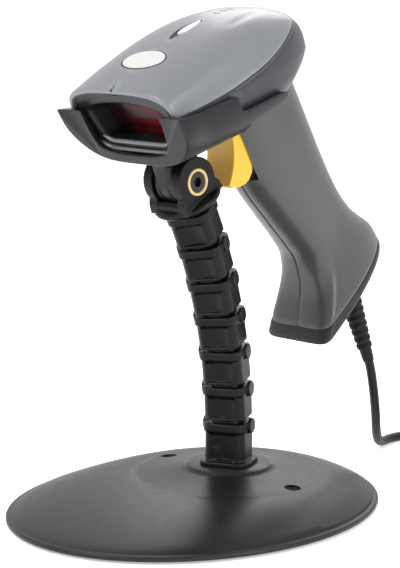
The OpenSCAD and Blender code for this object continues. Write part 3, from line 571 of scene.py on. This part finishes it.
def lower(sc, a, inset):
    """The same for the lower surface, which narrows and rises towards the tail."""
    k = SLOPE * (1 - smooth_step(sc, NOSE, 24))
    power = 3.4 - 1.35 * smooth_step(sc, 28, 70)
    s = sc
    for _ in range(2):
        h = EDGE - (EDGE - curve(KEEL, s) - inset) * soft(math.sin(math.radians(a)), power)
        s = sc + k * (EDGE - h)
    x = (head_half(s) - inset - 0.5) * soft(math.cos(math.radians(a)), power)
    return Vector((x, s, h))


def seam_angle(s, h, inset=0.0):
    rise = curve(RIDGE, s) - EDGE - inset
    return math.degrees(math.asin(min(1, max(0, (h - EDGE) / rise)) ** (FULL / 2))) if rise > 0.1 else 90


def stations(a, b, n, power=0.85):
    return [a + (b - a) * math.sin(math.radians(90 * (i / n) ** power)) for i in range(n + 1)]


def seam_end():
    s = 60.0
    while curve(RIDGE, s) > curve(SEAM, s) + 0.15:
        s += 0.05
    return s


def make_cover():
    """Shell over the top of the head. Each ring runs over the outside and back along the inside."""
    end = seam_end()
    n = 72

    def ring(sc, inset, step=0.0):
        low = seam_angle(min(sc, end), curve(SEAM, min(sc, end)))
        return [upper(sc, low + (180 - 2 * low) * i / n, inset + step) for i in range(n + 1)]

    def loop(sc, inset=0.0, wall=1.9):
        outer = ring(sc, inset)
        inner = [p.copy() for p in reversed(ring(sc, wall))]
        for r in (inner,):
            for p in (r[0], r[-1]):
                p.z -= 0.0
        outer[0] = outer[0].lerp(outer[1], 0.25) + Vector((-0.12, 0, 0))
        outer[-1] = outer[-1].lerp(outer[-2], 0.25) + Vector((0.12, 0, 0))
        return outer + inner

    rings = [loop(NOSE, 1.15), loop(NOSE + 0.12, 0.62), loop(NOSE + 0.55, 0.18), loop(NOSE + 1.2, 0.0)]
    rings += [loop(s) for s in stations(NOSE + 2.2, end - 0.02, 84)]
    return loft("top_cover_shell", rings, HEAD, sharp=32)


def outline_tool(name, outline, depth, top=12.0):
    """Solid above the dome's surface lowered by depth, inside an outline of (x, s)."""
    low = [(x, s, dome_height(x, s) - depth) for x, s in outline]
    high = [(x, s, 66.0) for x, s in outline]
    return loft(name, [low, high], HEAD)


def lens_outline(s0, s1, half, n=40, power=1.0):
    pts = []
    for i in range(n):
        t = i / n
        a = 2 * math.pi * t
        pts.append((half * math.sin(a) * abs(math.sin(a)) ** power,
                    (s0 + s1) / 2 - (s1 - s0) / 2 * math.cos(a)))
    return pts


def oval(cx, cs, rx, rs, n=64, power=2.0):
    return [(cx + rx * soft(math.cos(2 * math.pi * i / n), power),
             cs + rs * soft(math.sin(2 * math.pi * i / n), power))
            for i in range(n)]


cover = make_cover()
cut(cover,
    outline_tool("recess", lens_outline(11.5, 31.7, 3.5, 48, 0.35), 0.75),
    outline_tool("window", oval(0, 23.7, 2.0, 6.8, 40), 2.6),
    outline_tool("seat", oval(0, -4.8, 11.9, 7.2), 0.55),
    *[outline_tool(f"slot_{k}", oval(0, 41.0 + 3.8 * k, 2.35, 0.62, 24, 5), 6.0) for k in range(3)],
    outline_tool("notch", [(-0.9, -27.5), (0.9, -27.5), (0.55, -23.6), (0.0, -22.9), (-0.55, -23.6)], 1.1),
    sharp=32)


def make_crease_line():
    """Fine raised line from the notch in the lip to the badge."""
    path = [(0.0, -25.6), (-0.5, -23.0), (-1.6, -20.0), (-3.4, -16.6), (-5.6, -13.4), (-7.6, -11.4)]
    rings = []
    for (x, s), (x2, s2) in zip(path, path[1:] + [(-8.2, -10.9)]):
        d = Vector((x2 - x, s2 - s)).normalized()
        side = Vector((-d.y, d.x)) * 0.16
        rings.append([(x + side.x * w, s + side.y * w, dome_height(x, s) + up)
                      for w, up in ((-1.6, -0.25), (-0.7, 0.05), (0, 0.1), (0.7, 0.05), (1.6, -0.25))])
    return loft("crease_line", rings, HEAD)


def make_band():
    """Lower shell of the head: hull, dark band round the tail and, under the cover, its flange."""
    n_low = 44
    seam_stop = seam_end()

    def ring(sc, inset):
        shelf = curve(SEAM, min(sc, seam_stop))
        top = max(curve(RIDGE, sc) - EDGE, 0.1)
        marks = []
        for d in (0.0, 0.25, 1.5, 1.8, 2.5, 2.8):
            marks.append(seam_angle(sc, max(EDGE, shelf - d)))
        span = marks[0]
        low = ([marks[5] * i / 10 for i in range(10)]
               + [marks[5], marks[4], marks[3], marks[2], marks[1], marks[0]])
        high = [span + (90 - span) * (i + 1) / 12 for i in range(12)]
        half = low + high
        right = []
        for i, a in enumerate(half):
            step = 0.0
            if i in (12, 13) and sc < TAIL_S - 1:
                step = 0.32 * smooth_step(shelf, EDGE + 0.5, EDGE + 2.5)
            under = 0.62 if i > 15 else (0.3 if i == 15 else 0.0)
            under *= smooth_step(seam_stop - sc, -1.5, 0.5)
            right.append(upper(sc, a, inset + step + under))
        left = [Vector((-p.x, p.y, p.z)) for p in reversed(right[:-1])]
        bottom = [lower(sc, 180 - 180 * (i + 1) / n_low, inset) for i in range(n_low - 1)]
        return right + left + bottom

    outer = [ring(s, 0.05) for s in reversed(stations(NOSE + 0.7, TAIL_S, 78))]
    front = [ring(NOSE + 0.35, 0.3), ring(NOSE + 0.3, 0.7), ring(NOSE + 0.3, 2.0), ring(NOSE + 0.7, 2.3)]
    inner = [ring(s, 2.4) for s in stations(NOSE + 2, 62, 10)]
    return loft("head_band_shell", outer + front + inner, HEAD, sharp=35)


band = make_band()
dress(cover, "cover_grey", "scanner", "top_cover")
line = dress(make_crease_line(), "cover_grey", "scanner")
dress(band, "head_dark", "scanner", "head_lower_shell")


def make_badge():
    """Blank oval plate with a dark rim, on the slope of the cover."""
    def ring(scale, lift):
        return [(x, s, dome_height(x, s) + lift) for x, s in oval(0, -4.8, 11.0 * scale, 6.55 * scale)]
    plate = loft("badge_plate", [ring(1.0, -0.5), ring(1.0, 0.1), ring(0.985, 0.22), ring(0.94, 0.3),
                                 ring(0.8, 0.33), ring(0.5, 0.34), ring(0.15, 0.34)], HEAD, sharp=60)
    rim = loft("badge_rim", [ring(1.075, -0.45), ring(1.07, 0.02), ring(1.045, 0.12), ring(1.012, 0.08),
                             ring(1.01, -0.45)], HEAD, loop=True)
    return plate, rim


plate, rim = make_badge()
dress(plate, "badge_white", "scanner", "badge")
dress(rim, "cap_dark", "scanner")


def make_light():
    def ring(scale, lift):
        return [(x, s, dome_height(x, s) + lift) for x, s in lens_outline(16.7, 30.7, 2.25 * scale, 48, 0.12)]
    return loft("light_lens", [ring(1, -2.2), ring(1, -0.35), ring(0.9, -0.02), ring(0.6, 0.16),
                               ring(0.2, 0.22)], HEAD,
                sharp=60)


dress(make_light(), "light_white", "scanner", "led_light_pipe")

# ---------------------------------------------------------------- nose
CENTRE_H = 32.0


def reach(outline, a):
    """Distance from the middle of the nose to an outline, in direction a."""
    d = Vector((math.cos(a), math.sin(a)))
    best = 0.0
    for p, q in zip(outline, outline[1:] + outline[:1]):
        p, e = Vector(p), Vector(q) - Vector(p)
        den = d.x * e.y - d.y * e.x
        if abs(den) > 1e-9:
            t = (p.x * e.y - p.y * e.x) / den
            u = (p.x * d.y - p.y * d.x) / den
            if t > 0 and -1e-6 <= u <= 1 + 1e-6:
                best = max(best, t)
    return best


OPENING = [(-20.4, 26.2), (-17.6, 23.4), (18.4, 23.4), (21, 26.2), (22.6, 35.6), (21.2, 38.9), (12, 40.9),
           (0, 41.7), (-12, 40.9), (-21.2, 38.9), (-22.8, 35.6)]


def smoothed(outline, times):
    pts = [Vector(p) for p in outline]
    for _ in range(times):
        pts = [q for p, r in zip(pts, pts[1:] + pts[:1]) for q in (p.lerp(r, 0.25), p.lerp(r, 0.75))]
    return [tuple(p) for p in pts]


def nose_ring(outline, grow, back, n=144):
    ring = []
    for i in range(n):
        a = 2 * math.pi * i / n
        r = reach(outline, a) + grow
        x, h = r * math.cos(a), CENTRE_H - EDGE + r * math.sin(a)
        ring.append((x, NOSE - SLOPE * h + back, EDGE + h))
    return ring


def head_outline(inset):
    pts = [upper(NOSE, 180 * i / 60, inset) for i in range(61)] + [lower(NOSE, 180 - 180 * i / 60, inset)
                                                                    for i in range(1, 60)]
    return [(p.x, p.z - CENTRE_H) for p in pts]


opening = [(x, h - CENTRE_H) for x, h in smoothed(OPENING, 3)]
shape = head_outline(0)
bezel = loft("nose_bezel_frame", [
    nose_ring(shape, -2.7, 5.6), nose_ring(shape, -2.7, 1.6), nose_ring(shape, -3.1, 1.15),
    nose_ring(opening, 1.6, 1.5), nose_ring(opening, 0.7, 1.75), nose_ring(opening, 0.1, 2.3),
    nose_ring(opening, -0.4, 3.4), nose_ring(opening, -1.9, 10.5), nose_ring(opening, -1.6, 10.9),
    nose_ring(opening, 1.0, 10.9)], HEAD, loop=True, sharp=42)
dress(bezel, "bezel_dark", "scanner", "nose_bezel")
pane = loft("scan_window_pane", [nose_ring(opening, -1.4, 10.8), nose_ring(opening, -1.4, 9.9),
                                 nose_ring(opening, -2.2, 9.6)], HEAD)
dress(pane, "window_red", "scanner", "scan_window")


def lip_bar(name, level, back, half, thick, rise):
    """Bar along the lower edge of the mouth, turned up at its ends; its lighter grey, given where it is
    dressed, is a painted highlight.
    """
    rings = []
    for i in range(49):
        x = -half + 2 * half * i / 48
        up = rise * max(0.0, (abs(x) / half - 0.72) / 0.28) ** 2
        mid = Vector((x, NOSE - SLOPE * (level + up - EDGE) + back, level + up))
        t = thick * (0.35 + 0.65 * min(1, (1 - abs(x) / half) * 9))
        rings.append([mid + Vector((0, 0.9 * math.cos(a), t / 2 * math.sin(a)))
                      for a in [2 * math.pi * k / 16 for k in range(16)]])
    return loft(name, rings, HEAD, sharp=60)


upper_lip = lip_bar("mouth_sill", 22.9, 1.3, 19.6, 1.9, 2.4)
lower_lip = lip_bar("mouth_lip", 19.6, 0.2, 21.0, 1.7, 2.6)
# Both bars take the lighter grey, a painted highlight.
dress(upper_lip, "bezel_dark", "scanner", mats=[LIP_HIGHLIGHT])
dress(lower_lip, "head_dark", "scanner", mats=[LIP_HIGHLIGHT])

# ---------------------------------------------------------------- handle
GRIP_FRONT = [(24, 25), (29.4, 8), (35.4, -17), (44.4, -35), (53.2, -51), (58, -62), (57.2, -76), (47.8, -97)]
GRIP_REAR = [(70, 27), (74.6, 8), (81, -17), (86.6, -35), (92.6, -46.5), (98.3, -53.4), (105.6, -61),
             (109.6, -69.8)]
GRIP_HALF = [16.5, 16.2, 15.8, 15.3, 15, 15.4, 16.8, 19.4]
GRIP_SPLIT = [0.5, 0.5, 0.5, 0.48, 0.44, 0.38, 0.3, 0.22]
GRIP_SQUARE = [2.3, 2.3, 2.3, 2.4, 2.6, 3, 4, 7]
CAP_T = 6.72


def indexed(v):
    return [(i, x) for i, x in enumerate(v)]


def grip_frame(t):
    if t < 0:
        (f0, r0), (f1, r1) = grip_frame(0), grip_frame(0.3)
        return f0 + (f1 - f0) * (t / 0.3), r0 + (r1 - r0) * (t / 0.3)
    f = Vector((curve(indexed([p[0] for p in GRIP_FRONT]), t), curve(indexed([p[1] for p in GRIP_FRONT]), t)))
    r = Vector((curve(indexed([p[0] for p in GRIP_REAR]), t), curve(indexed([p[1] for p in GRIP_REAR]), t)))
    return f, r


def grip_point(t, a, inset):
    """Point at angle a round the handle: 0 at the front, 90 on the +X side, 180 at the rear."""
    f, r = grip_frame(t)
    run = (r - f).length
    u = (r - f) / run
    split = run * curve(indexed(GRIP_SPLIT), max(t, 0))
    square = curve(indexed(GRIP_SQUARE), max(t, 0))
    side = curve(indexed(GRIP_HALF), max(t, 0)) - inset
    c, s = math.cos(math.radians(a)), math.sin(math.radians(a))
    e = square if c > 0 else 2.2
    far = (split if c > 0 else run - split) - inset
    k = f + u * split - u * far * soft(c, e)
    return Vector((side * soft(s, e), k.x, k.y))


def handle_half(side):
    """One shell of the handle, solid to the eye, with its edge rolled in along the seam."""
    rings = []
    for t in [-0.3 + (CAP_T + 0.3) * i / 94 for i in range(95)]:
        end = 0.35 * smooth_step(t, CAP_T - 0.06, CAP_T)
        ring = []
        for i in range(57):
            a = 180 * (0.5 - 0.5 * math.cos(math.pi * i / 56)) if 0 < i < 56 else 180 * (i / 56)
            p = grip_point(t, a, end)
            seam = 0.45 * math.exp(-((abs(p.x) / 0.32) ** 2))
            q = grip_point(t, a, end + seam)
            ring.append((side * max(q.x, 0.06), q.y, q.z))
        rings.append(ring)
    return loft(f"handle_shell_{'left' if side > 0 else 'right'}", rings, HEAD, sharp=50)


def pocket():
    low = prism("pocket", [(x, s) for x, s in oval(0, 25, 8.85, 17, 64, 16)], -13.6, 12.6, "z", HEAD)
    high = prism("pocket_top", [(x, s) for x, s in oval(0, 35.5, 8.85, 6.5, 48, 12)], 0.5, 24.0, "z", HEAD)
    return low, high


for side, name, node in ((1, "left", "handle_left"), (-1, "right", "handle_right")):
    half = handle_half(side)
    cut(half, *pocket(), sharp=38)
    dress(half, "handle_grey", "scanner", node)


def make_cap():
    def ring(t, inset, out=0.0, n=112):
        f, r = grip_frame(7)
        down = Vector((0, r.y - f.y, -(r.x - f.x))).normalized()
        return [grip_point(t, 360 * (i + 0.5) / n, inset) + down * out for i in range(n)]
    return loft("butt_cap_shell", [
        ring(6.70, 2.0), ring(CAP_T + 0.012, 0.9), ring(CAP_T + 0.012, 0.28), ring(CAP_T + 0.03, 0.05),
        ring(6.80, 0), ring(6.9, 0), ring(6.965, 0.08), ring(6.995, 0.4), ring(7, 0.95, 0.22),
        ring(7, 1.7, 0.42), ring(7, 3.6, 0.5), ring(7, 3.9, 0.36), ring(7, 4.3, 0.34), ring(7, 4.6, 0.5),
        ring(7, 9, 0.7)], HEAD, sharp=60)


cap = make_cap()
dress(cap, "cap_dark", "scanner", "butt_cap")

# strain relief
END_F, END_R = Vector(GRIP_FRONT[7]), Vector(GRIP_REAR[7])
END_TILT = math.degrees(math.atan2(END_R.y - END_F.y, END_R.x - END_F.x))
EXIT = END_F + 0.63 * (END_R - END_F)
BOOT = HEAD @ Matrix.Translation((0, EXIT.x, EXIT.y)) @ Matrix.Rotation(math.radians(END_TILT - 16.5), 4, "X")


def make_boot():
    profile = [(2.0, 6.0), (5.5, 6.0), (5.5, 1.2), (6.0, 0.4), (6.3, -1.2), (6.2, -3.2), (5.6, -4.6),
               (4.9, -5.6)]
    for k in range(9):
        z, rib = -7 - 3.9 * k, 5.35 - 0.21 * k
        core = rib - 1.15
        profile += [(core, z + 0.75), (core + 0.15, z + 0.3), (rib - 0.25, z + 0.02), (rib, z - 0.3),
                    (rib, z - 1.7), (rib - 0.3, z - 2.2), (core + 0.1, z - 2.45)]
    profile += [(2.9, -42.5), (2.75, -46), (2.6, -47.7), (2.3, -48.0), (1.9, -47.8)]
    return turned("strain_relief", profile, BOOT, 56, sharp=70)


dress(make_boot(), "rubber_black", "scanner", "strain_relief_boot")


# ---------------------------------------------------------------- trigger
def bowed(a, b, sag, n):
    a, b = Vector(a), Vector(b)
    d = b - a
    return [tuple(a + d * (i / n) + Vector((d.y, -d.x)).normalized() * sag * 4 * (i / n) * (1 - i / n))
            for i in range(n + 1)]


def make_trigger():
    side = (bowed((27.5, 11.5), (20, -9.6), -2.2, 14)
            + [(20.3, -10.8), (21.4, -11.5), (24, -11.9), (30, -10.7), (32.2, -5), (33.4, 3), (34.5, 8),
               (36.4, 11.5)])
    blade = prism("trigger_lever", side, -8.3, 8.3, "x", HEAD)
    arms = [prism("arm", [(34.6, 9), (41.2, 11), (41.5, 15), (40.4, 17.8), (38, 18.6), (35.6, 17.6),
                          (34.4, 15)],
                  x, x + 3.2, "x", HEAD) for x in (-8.3, 5.1)]
    cheeks = [prism("cheek", [(22.4, -11.6), (25.5, -12.5), (29, -12.6), (32.2, -11.6), (34.6, -9.2),
                              (36.2, -5.4), (37.3, 0), (38, 5), (38.6, 9), (38.8, 12), (34, 12), (28, 2)],
                    x, x + 3.2, "x", HEAD)
              for x in (-8.3, 5.1)]
    lever = join("trigger_lever", blade, *arms, *cheeks)
    melt(lever, 0.34, 5)
    # Faces turned front and down take the second material, a painted shade.
    for p in lever.data.polygons:
        n = HEAD.inverted().to_3x3() @ p.normal
        p.material_index = 1 if (n.normalized().y < -0.45 and abs(n.normalized().x) < 0.75) else 0
    return lever


dress(make_trigger(), "trigger_orange", "trigger", "trigger", mats=[MATS["trigger_orange"], SHADED_ORANGE])

# ---------------------------------------------------------------- cradle
KNUCKLE = 11.4


def cradle_ring(sc, a, grow, depth_grow, top=40.0):
    k = SLOPE * (1 - smooth_step(sc, NOSE, 20))
    flare = 2.6 * (1 - smooth_step(sc, NOSE - 2, NOSE + 13))
    s = sc
    for _ in range(2):
        h = top - (top - 18 - max(0.0, (s - 20)) * 0.06 + depth_grow) * soft(math.sin(math.radians(a)), 3.4)
        s = sc + k * (EDGE - h)
    wide = flare * smooth_step(h, 17, 31) if grow > 1 else 0
    x = (head_half(s) + grow + wide) * soft(math.cos(math.radians(a)), 3.4)
    return (x, s, h)


def trough(name, grow, depth_grow, start, end):
    n = 96
    rings = []
    for i in range(41):
        sc = start + (end - start) * i / 40
        rings.append([cradle_ring(sc, 180 - 180 * j / n, grow, depth_grow) for j in range(n + 1)]
                     + [(30 - 60 * j / 8, sc - 1.2, 48) for j in range(9)])
    return loft(name, rings, HEAD)


def make_cradle():
    body = trough("cradle_trough", 3.0, 4.0, NOSE - 3.4, 41)
    hollow = trough("hollow", 0.4, 1.4, NOSE - 0.7, 44)
    mouth = smoothed([(-24.4, 62), (-24.0, 44), (-22.4, 24.6), (-17, 18.4), (17, 18.4), (22.4, 24.6),
                      (24.0, 44), (24.4, 62)], 2)
    front = prism("front", mouth, -60, -10, "y", HEAD)
    floor = prism("floor", smoothed([(17, -20), (60, -20), (60, 22.8), (18.4, 22.8), (17, 20.5)], 1),
                  -60, 60, "x", HEAD)
    above = [(-60, 70), (-60, 42.0), (-26, 38.6), (-19, 36.9), (-12, 36.2), (6, 36.2), (8.4, 35.9),
             (9.4, 34.6), (9.8, 31.0), (10.6, 29.1), (12.4, 28.5), (35.4, 28.5), (38.2, 27.6), (39.6, 25.6),
             (38.4, 23.7), (36, 22.9), (60, 22.9), (60, 70)]
    top = prism("top", above, -60, 60, "x", HEAD)
    cut(body, hollow, front, floor, top, sharp=35)
    knuckle = turned("knuckle", [(0.01, -5.7), (8.7, -5.7), (9.4, -5.2), (9.4, -3.4), (8.5, -3.2),
                                 (8.5, -2.6), (9.4, -2.4), (9.4, 2.4), (8.5, 2.6), (8.5, 3.2), (9.4, 3.4),
                                 (9.4, 5.2), (8.7, 5.7), (0.01, 5.7)], HEAD, 64, "x")
    stem = loft("stem", [[(x * w, s * d, h) for x, s in oval(0, 0, 1, 1, 32, 6)]
                         for h, w, d in ((0, 5.6, 9.2), (9, 5.7, 9.4), (12.5, 7.0, 10.6), (14.6, 10.5, 13.5),
                                         (16.2, 13, 15))], HEAD)
    whole = join("cradle_body", body, knuckle, stem)
    melt(whole, 0.42, 5)
    bolt_hole = turned("hole", [(2.56, -20), (2.56, 20)], HEAD, 32, "x")
    cut(whole, bolt_hole, sharp=60)
    return whole


dress(make_cradle(), "cradle_plastic", "cradle", "cradle")

# ---------------------------------------------------------------- fork, neck and base
EAR_IN = KNUCKLE / 2 + 0.4
EAR_OUT = EAR_IN + 4.8


def make_fork():
    ball = turned("ball", [(3.0, -6.6), (3.6, -6.35), (5.4, -4.9), (6.7, -2.9), (7.3, 0), (6.9, 2.2),
                           (6.6, 2.6), (6.6, 3.4), (3.0, 3.4)], FORK, 64)
    dish = turned("dish", [(3.0, 3.2), (10.6, 3.2), (13.2, 3.7), (14.7, 4.8), (15, 5.7), (14.6, 6.7),
                           (13, 7.3), (11.4, 7.6), (10, 8.6), (3.0, 8.6)], FORK, 72)
    ears = []
    for side in (-1, 1):
        ring = []
        for i in range(40):
            a = math.radians(-20 + 220 * i / 39)
            ring.append((10.6 * math.cos(a), REACH + 10.6 * math.sin(a)))
        ring += [(-11.4, 9.4), (-12.2, 5.4), (12.2, 5.4), (11.4, 9.4)]
        lo, hi = sorted((side * EAR_IN, side * EAR_OUT))
        ears.append(prism("ear", ring, lo, hi, "x", FORK))
    saddle = [(10.3 * math.cos(math.radians(a)), REACH + 10.3 * math.sin(math.radians(a)))
              for a in range(-150, -29, 6)]
    saddle += [(11.2, 9.0), (11.8, 5.4), (-11.8, 5.4), (-11.2, 9.0)]
    body = join("fork_body", ball, dish, *ears,
                prism("saddle", saddle, -EAR_IN - 0.5, EAR_IN + 0.5, "x", FORK))
    melt(body, 0.34, 6)
    centre = FORK @ Matrix.Translation((0, 0, REACH))
    cut(body, turned("bolt_hole", [(2.56, -20), (2.56, 20)], centre, 40, "x"),
        turned("ring_seat", [(5.8, EAR_OUT - 1.4), (5.8, 30)], centre, 56, "x"),
        turned("head_seat", [(4.7, EAR_OUT - 3.6), (4.7, 30)], centre, 56, "x"),
        turned("nut_seat", [(4.7, -30), (4.7, -EAR_OUT + 3.4)], centre, 56, "x"), sharp=35)
    return body


dress(make_fork(), "neck_plastic", "fork", "fork")
CENTRE = FORK @ Matrix.Translation((0, 0, REACH))


def closed_ring(name, profile, where, n=72):
    """Ring about the X axis from a closed profile of (radius, x)."""
    rings = [[(h, r * math.cos(2 * math.pi * i / n), r * math.sin(2 * math.pi * i / n)) for i in range(n)]
             for r, h in profile]
    return loft(name, rings, where, loop=True, sharp=50)


ring = closed_ring("hinge_ring_cream", [(4.5, EAR_OUT - 1.3), (5.7, EAR_OUT - 1.3), (5.72, EAR_OUT + 0.35),
                                        (5.5, EAR_OUT + 0.62), (5.2, EAR_OUT + 0.7), (4.8, EAR_OUT + 0.62),
                                        (4.5, EAR_OUT + 0.3)], CENTRE)
dress(ring, "ring_cream", "fork", "hinge_ring")

for k in range(2, 8):
    link = rounded_copy(f"neck_link_{k}", f"neck_link_body_{k}", 0.36, 4)
    dress(link, "neck_plastic", f"link_{k}", f"neck_link_{k}")
foot = rounded_copy("neck_foot", "neck_foot_body", 0.36, 4)
dress(foot, "neck_plastic", "stand_base", "neck_foot")

BASE_W, BASE_L, SHIFT, DISH, HUB = 146, 175, 21, 42, 18.6
RIM_H, DISH_H, HUB_H, FOOT_H = 3.2, 12.2, 16.4, 1.0


def make_base():
    n = 192

    def ring(f, inset, z):
        return [((DISH + (BASE_W / 2 - DISH) * f - inset) * math.cos(2 * math.pi * i / n),
                 (DISH + (BASE_L / 2 - DISH) * f - inset) * math.sin(2 * math.pi * i / n) - SHIFT * f, z)
                for i in range(n)]

    def round_ring(r, z):
        return [(r * math.cos(2 * math.pi * i / n), r * math.sin(2 * math.pi * i / n), z) for i in range(n)]

    def dome(f):
        return RIM_H + (DISH_H - RIM_H) * (1 - f**1.7)

    def dish(r):
        return DISH_H + (HUB_H - 0.9 - DISH_H) * max(0, (DISH - r) / (DISH - HUB)) ** 1.6

    rings = [ring(1, 0.5, FOOT_H), ring(1, 0.1, FOOT_H + 0.3), ring(1, 0, FOOT_H + 0.7),
             ring(1, 0, RIM_H - 0.7), ring(1, 0.25, RIM_H - 0.25), ring(1, 0.8, RIM_H),
             ring(1, 1.9, RIM_H + 0.05), ring(1, 2.5, RIM_H + 0.35)]
    rings += [ring(f, 0, dome(f))
              for f in (0.9, 0.82, 0.74, 0.66, 0.58, 0.5, 0.42, 0.34, 0.26, 0.18, 0.1, 0.04)]
    rings += [ring(0.012, 0, dome(0) - 0.02), ring(0, 0.35, dome(0) - 0.22)]
    rings += [round_ring(r, dish(r) - 0.22 * smooth_step(r, 36, 41))
              for r in (40.5, 38, 35, 32, 29, 26, 23.5, 21.5)]
    rings += [round_ring(HUB + 0.9, dish(HUB + 0.9)), round_ring(HUB + 0.45, dish(HUB) + 0.25),
              round_ring(HUB + 0.1, HUB_H - 0.3), round_ring(HUB - 0.3, HUB_H), round_ring(8, HUB_H),
              round_ring(8, HUB_H - 4), round_ring(HUB - 1, HUB_H - 4)]
    rings += [ring(f, 1, dome(f) - 2.4) for f in (0, 0.3, 0.6)]
    rings += [ring(0.9, 1, RIM_H - 0.6), ring(1, 2.4, RIM_H - 1), ring(1, 2.4, FOOT_H)]
    return loft("base_cover", rings, loop=True, sharp=42)


base = make_base()
screw_tools = []
for x in (-38, 38):
    place = WORLD @ Matrix.Translation((x, 0, 0))
    screw_tools.append(turned(f"screw_hole_{x}", [(2.3, -1), (2.3, 10.4), (3.6, 11.6), (3.6, 20)], place, 40))
cut(base, *screw_tools, sharp=38)
dress(base, "base_plastic", "stand_base", "base_shell")

# ---------------------------------------------------------------- stage and light
def make_stage():
    floor = loft("floor", [[(-6000, -6000, -0.05), (6000, -6000, -0.05), (6000, 6000, -0.05),
                            (-6000, 6000, -0.05)],
                           [(-6000, -6000, -1), (6000, -6000, -1), (6000, 6000, -1), (-6000, 6000, -1)]])
    floor.data.materials.append(finish_of("floor_pale", (0.93, 0.93, 0.93), 0.75, 60, 0.02, 0.004,
                                          light=((1, 1, 1), 0.42)))
    world = bpy.data.worlds.new("studio")
    world.use_nodes = True
    world.node_tree.nodes["Background"].inputs["Color"].default_value = (1, 1, 1, 1)
    add, link = world.node_tree.nodes.new, world.node_tree.links.new
    where, dot, level = add("ShaderNodeTexCoord"), add("ShaderNodeVectorMath"), add("ShaderNodeMapRange")
    dot.operation = "DOT_PRODUCT"
    dot.inputs[1].default_value = (-0.707, 0.707, 0)
    level.interpolation_type = "SMOOTHSTEP"
    for key, value in (("From Min", -0.45), ("From Max", 0.35), ("To Min", 0.52), ("To Max", 1.02)):
        level.inputs[key].default_value = value
    link(where.outputs["Generated"], dot.inputs[0])
    link(dot.outputs["Value"], level.inputs["Value"])
    link(level.outputs["Result"], world.node_tree.nodes["Background"].inputs["Strength"])
    bpy.context.scene.world = world


def soft_light(name, place, target, size, power, tint=(1, 1, 1)):
    data = bpy.data.lights.new(name, "AREA")
    data.shape, data.size, data.size_y, data.energy, data.color = "RECTANGLE", size[0], size[1], power, tint
    obj = bpy.data.objects.new(name, data)
    bpy.context.collection.objects.link(obj)
    obj.location = place
    obj.rotation_mode = "QUATERNION"
    obj.rotation_quaternion = (Vector(target) - Vector(place)).to_track_quat("-Z", "Y")


make_stage()
soft_light("key", (-0.2, -1.3, 1.5), (0, 0, 0.1), (0.7, 0.7), 19)
soft_light("side", (1.5, 0.1, 0.8), (0, 0, 0.1), (0.4, 1.4), 13)
soft_light("back", (-0.9, 1.2, 1.1), (0, 0, 0.12), (0.8, 0.8), 6)
bpy.context.scene.view_settings.view_transform = "Standard"
